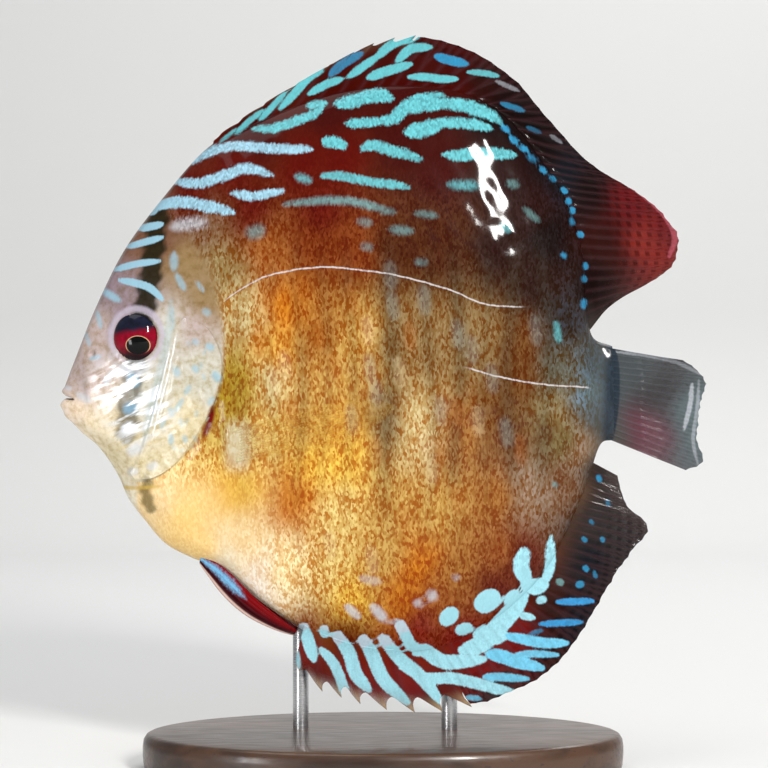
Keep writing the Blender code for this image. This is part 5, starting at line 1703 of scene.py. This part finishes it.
# %% Stand materials
WOOD_DARK, WOOD_LIGHT = (0.028, 0.012, 0.006, 1.0), (0.085, 0.038, 0.018, 1.0)
WOOD_PORE = (0.012, 0.006, 0.003, 1.0)
STEEL_DARK, STEEL_LIGHT = (0.42, 0.42, 0.43, 1.0), (0.62, 0.62, 0.62, 1.0)


def wood_material():
    """Dark oiled wood: rings of a stretched noise along X, with fine pores."""
    made, tree, shader = new_material("dark_wood")
    long_grain = stretched(tree, object_place(tree), (14.0, 150.0, 150.0))
    broad = noise(tree, long_grain, 1.0, 5.0, distortion=0.6).outputs[0]
    pores = noise(tree, long_grain, 9.0, 3.0).outputs[0]
    tone = mix_colour(tree, ramp(tree, broad, 0.35, 0.65), WOOD_DARK, WOOD_LIGHT)
    feed(shader, {"Base Color": mix_colour(tree, ramp(tree, pores, 0.62, 0.72, 0.0, 0.6), tone,
                                           WOOD_PORE),
                  "Roughness": ramp(tree, pores, 0.3, 0.7, 0.28, 0.42),
                  "Normal": bumped(tree, pores, 0.15, 0.0002),
                  "Coat Weight": 0.25, "Coat Roughness": 0.15})
    return made


def steel_material():
    """Brushed steel: fine level scratches round the rod."""
    made, tree, shader = new_material("brushed_steel")
    level = stretched(tree, object_place(tree), (300.0, 300.0, 9000.0))
    lines = noise(tree, level, 1.0, 2.0).outputs[0]
    feed(shader, {"Base Color": mix_colour(tree, lines, STEEL_DARK, STEEL_LIGHT),
                  "Roughness": ramp(tree, lines, 0.3, 0.7, 0.22, 0.38),
                  "Metallic": 1.0})
    return made


wood_finish, steel_finish = wood_material(), steel_material()
print("made", wood_finish.name, steel_finish.name)

# %% [markdown]
# ## Putting it together
# Each piece gets its finish, rides on the one body and stands for its solid.

# %% Pieces on the frame


def place_piece(piece, finish, slot, *nodes):
    """Give a piece its material and tie it to the frame."""
    piece.data.materials.append(finish)
    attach(piece, "root")
    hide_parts(*nodes)


place_piece(skin, skin_finish, "flank_skin", "head", "trunk", "tail_stem")
for word, cover, ball, pectoral, pelvic in zip(("left", "right"), covers, eyes, pectorals,
                                               pelvics):
    place_piece(cover, skin_finish, "cover_skin", "gill_cover_" + word)
    place_piece(ball, eye_finish, "eye", "eye_" + word)
    place_piece(pectoral, clear_fin_finish, "fin_clear", "pectoral_fin_" + word)
    place_piece(pelvic, fin_finish, "fin_red", "pelvic_fin_" + word)
place_piece(dorsal, fin_finish, "fin_red", "dorsal_fin")
place_piece(anal, fin_finish, "fin_red", "anal_fin")
place_piece(tail, tail_finish, "fin_clear", "caudal_fin")
place_piece(base, wood_finish, "stand_wood", "stand_base")
for name, rod in rods.items():
    place_piece(rod, steel_finish, "stand_steel", name)
print("pieces tied to the frame")

# %% [markdown]
# ## Floor, backdrop and light
# A plain pale sweep and soft boxes. The photo's sun stands high on the left behind the camera,
# so the key light does too; its reflection makes the bright patches on the wet cheek and back.

# %% Stage
SWEEP_FRONT, SWEEP_BACK, SWEEP_TOP, SWEEP_SIDE, SWEEP_BEND = -900.0, 700.0, 900.0, 1100.0, 120.0


def stage_material():
    """Matt pale paper."""
    made, _, shader = new_material("pale_paper")
    feed(shader, {"Base Color": (0.72, 0.72, 0.71, 1.0), "Roughness": 0.9})
    return made


def sweep():
    """Floor that rises into a backdrop through a quarter circle of 120 mm, 700 mm behind."""
    turn = np.linspace(0.0, np.pi / 2, 13)
    start = SWEEP_BACK - SWEEP_BEND
    curve = [(start + SWEEP_BEND * math.sin(a), SWEEP_BEND - SWEEP_BEND * math.cos(a))
             for a in turn]
    profile = np.array([(SWEEP_FRONT, 0.0)] + curve + [(SWEEP_BACK, SWEEP_TOP)])
    sides = np.array([-SWEEP_SIDE, SWEEP_SIDE])
    points = np.array([[x, y, z] for y, z in profile for x in sides])
    number = np.arange(len(points)).reshape(-1, 2)
    quads = np.stack([number[:-1, 0], number[:-1, 1], number[1:, 1], number[1:, 0]], axis=-1)
    made = build_mesh("stage_sweep", points, [quads])
    made.data.materials.append(stage_material())
    return made


backdrop = sweep()
print("backdrop points", len(backdrop.data.vertices))

# %% Lights


def soft_box(name, place, aim, size, power, colour=(1.0, 1.0, 1.0)):
    """Rectangular area light at a place in metres, turned to face the aim."""
    data = bpy.data.lights.new(name, "AREA")
    data.shape = "RECTANGLE"
    data.size, data.size_y = size
    data.energy = power
    data.color = colour
    thing = bpy.data.objects.new(name, data)
    thing.location = place
    direction = Vector(aim) - Vector(place)
    thing.rotation_euler = direction.to_track_quat("-Z", "Y").to_euler()
    bpy.context.scene.collection.objects.link(thing)


soft_box("key", (0.37, -0.74, 0.50), (0.0, 0.0, 0.09), (0.05, 0.26), 7.0, (1.0, 0.98, 0.95))
soft_box("cheek", (-0.27, -0.30, 0.045), (-0.05, 0.0, 0.085), (0.06, 0.10), 0.32)
soft_box("top", (-0.25, -0.15, 0.95), (0.0, 0.0, 0.08), (0.5, 0.5), 2.0)
soft_box("back", (0.3, 0.45, 0.8), (0.0, 0.2, 0.05), (0.6, 0.4), 4.0)
world = bpy.data.worlds.new("soft_room")
world.use_nodes = True
feed(world.node_tree.nodes["Background"], {"Color": (0.92, 0.95, 1.0, 1.0), "Strength": 0.34})
bpy.context.scene.world = world
bpy.context.scene.view_settings.view_transform = "Standard"
print("lights set")
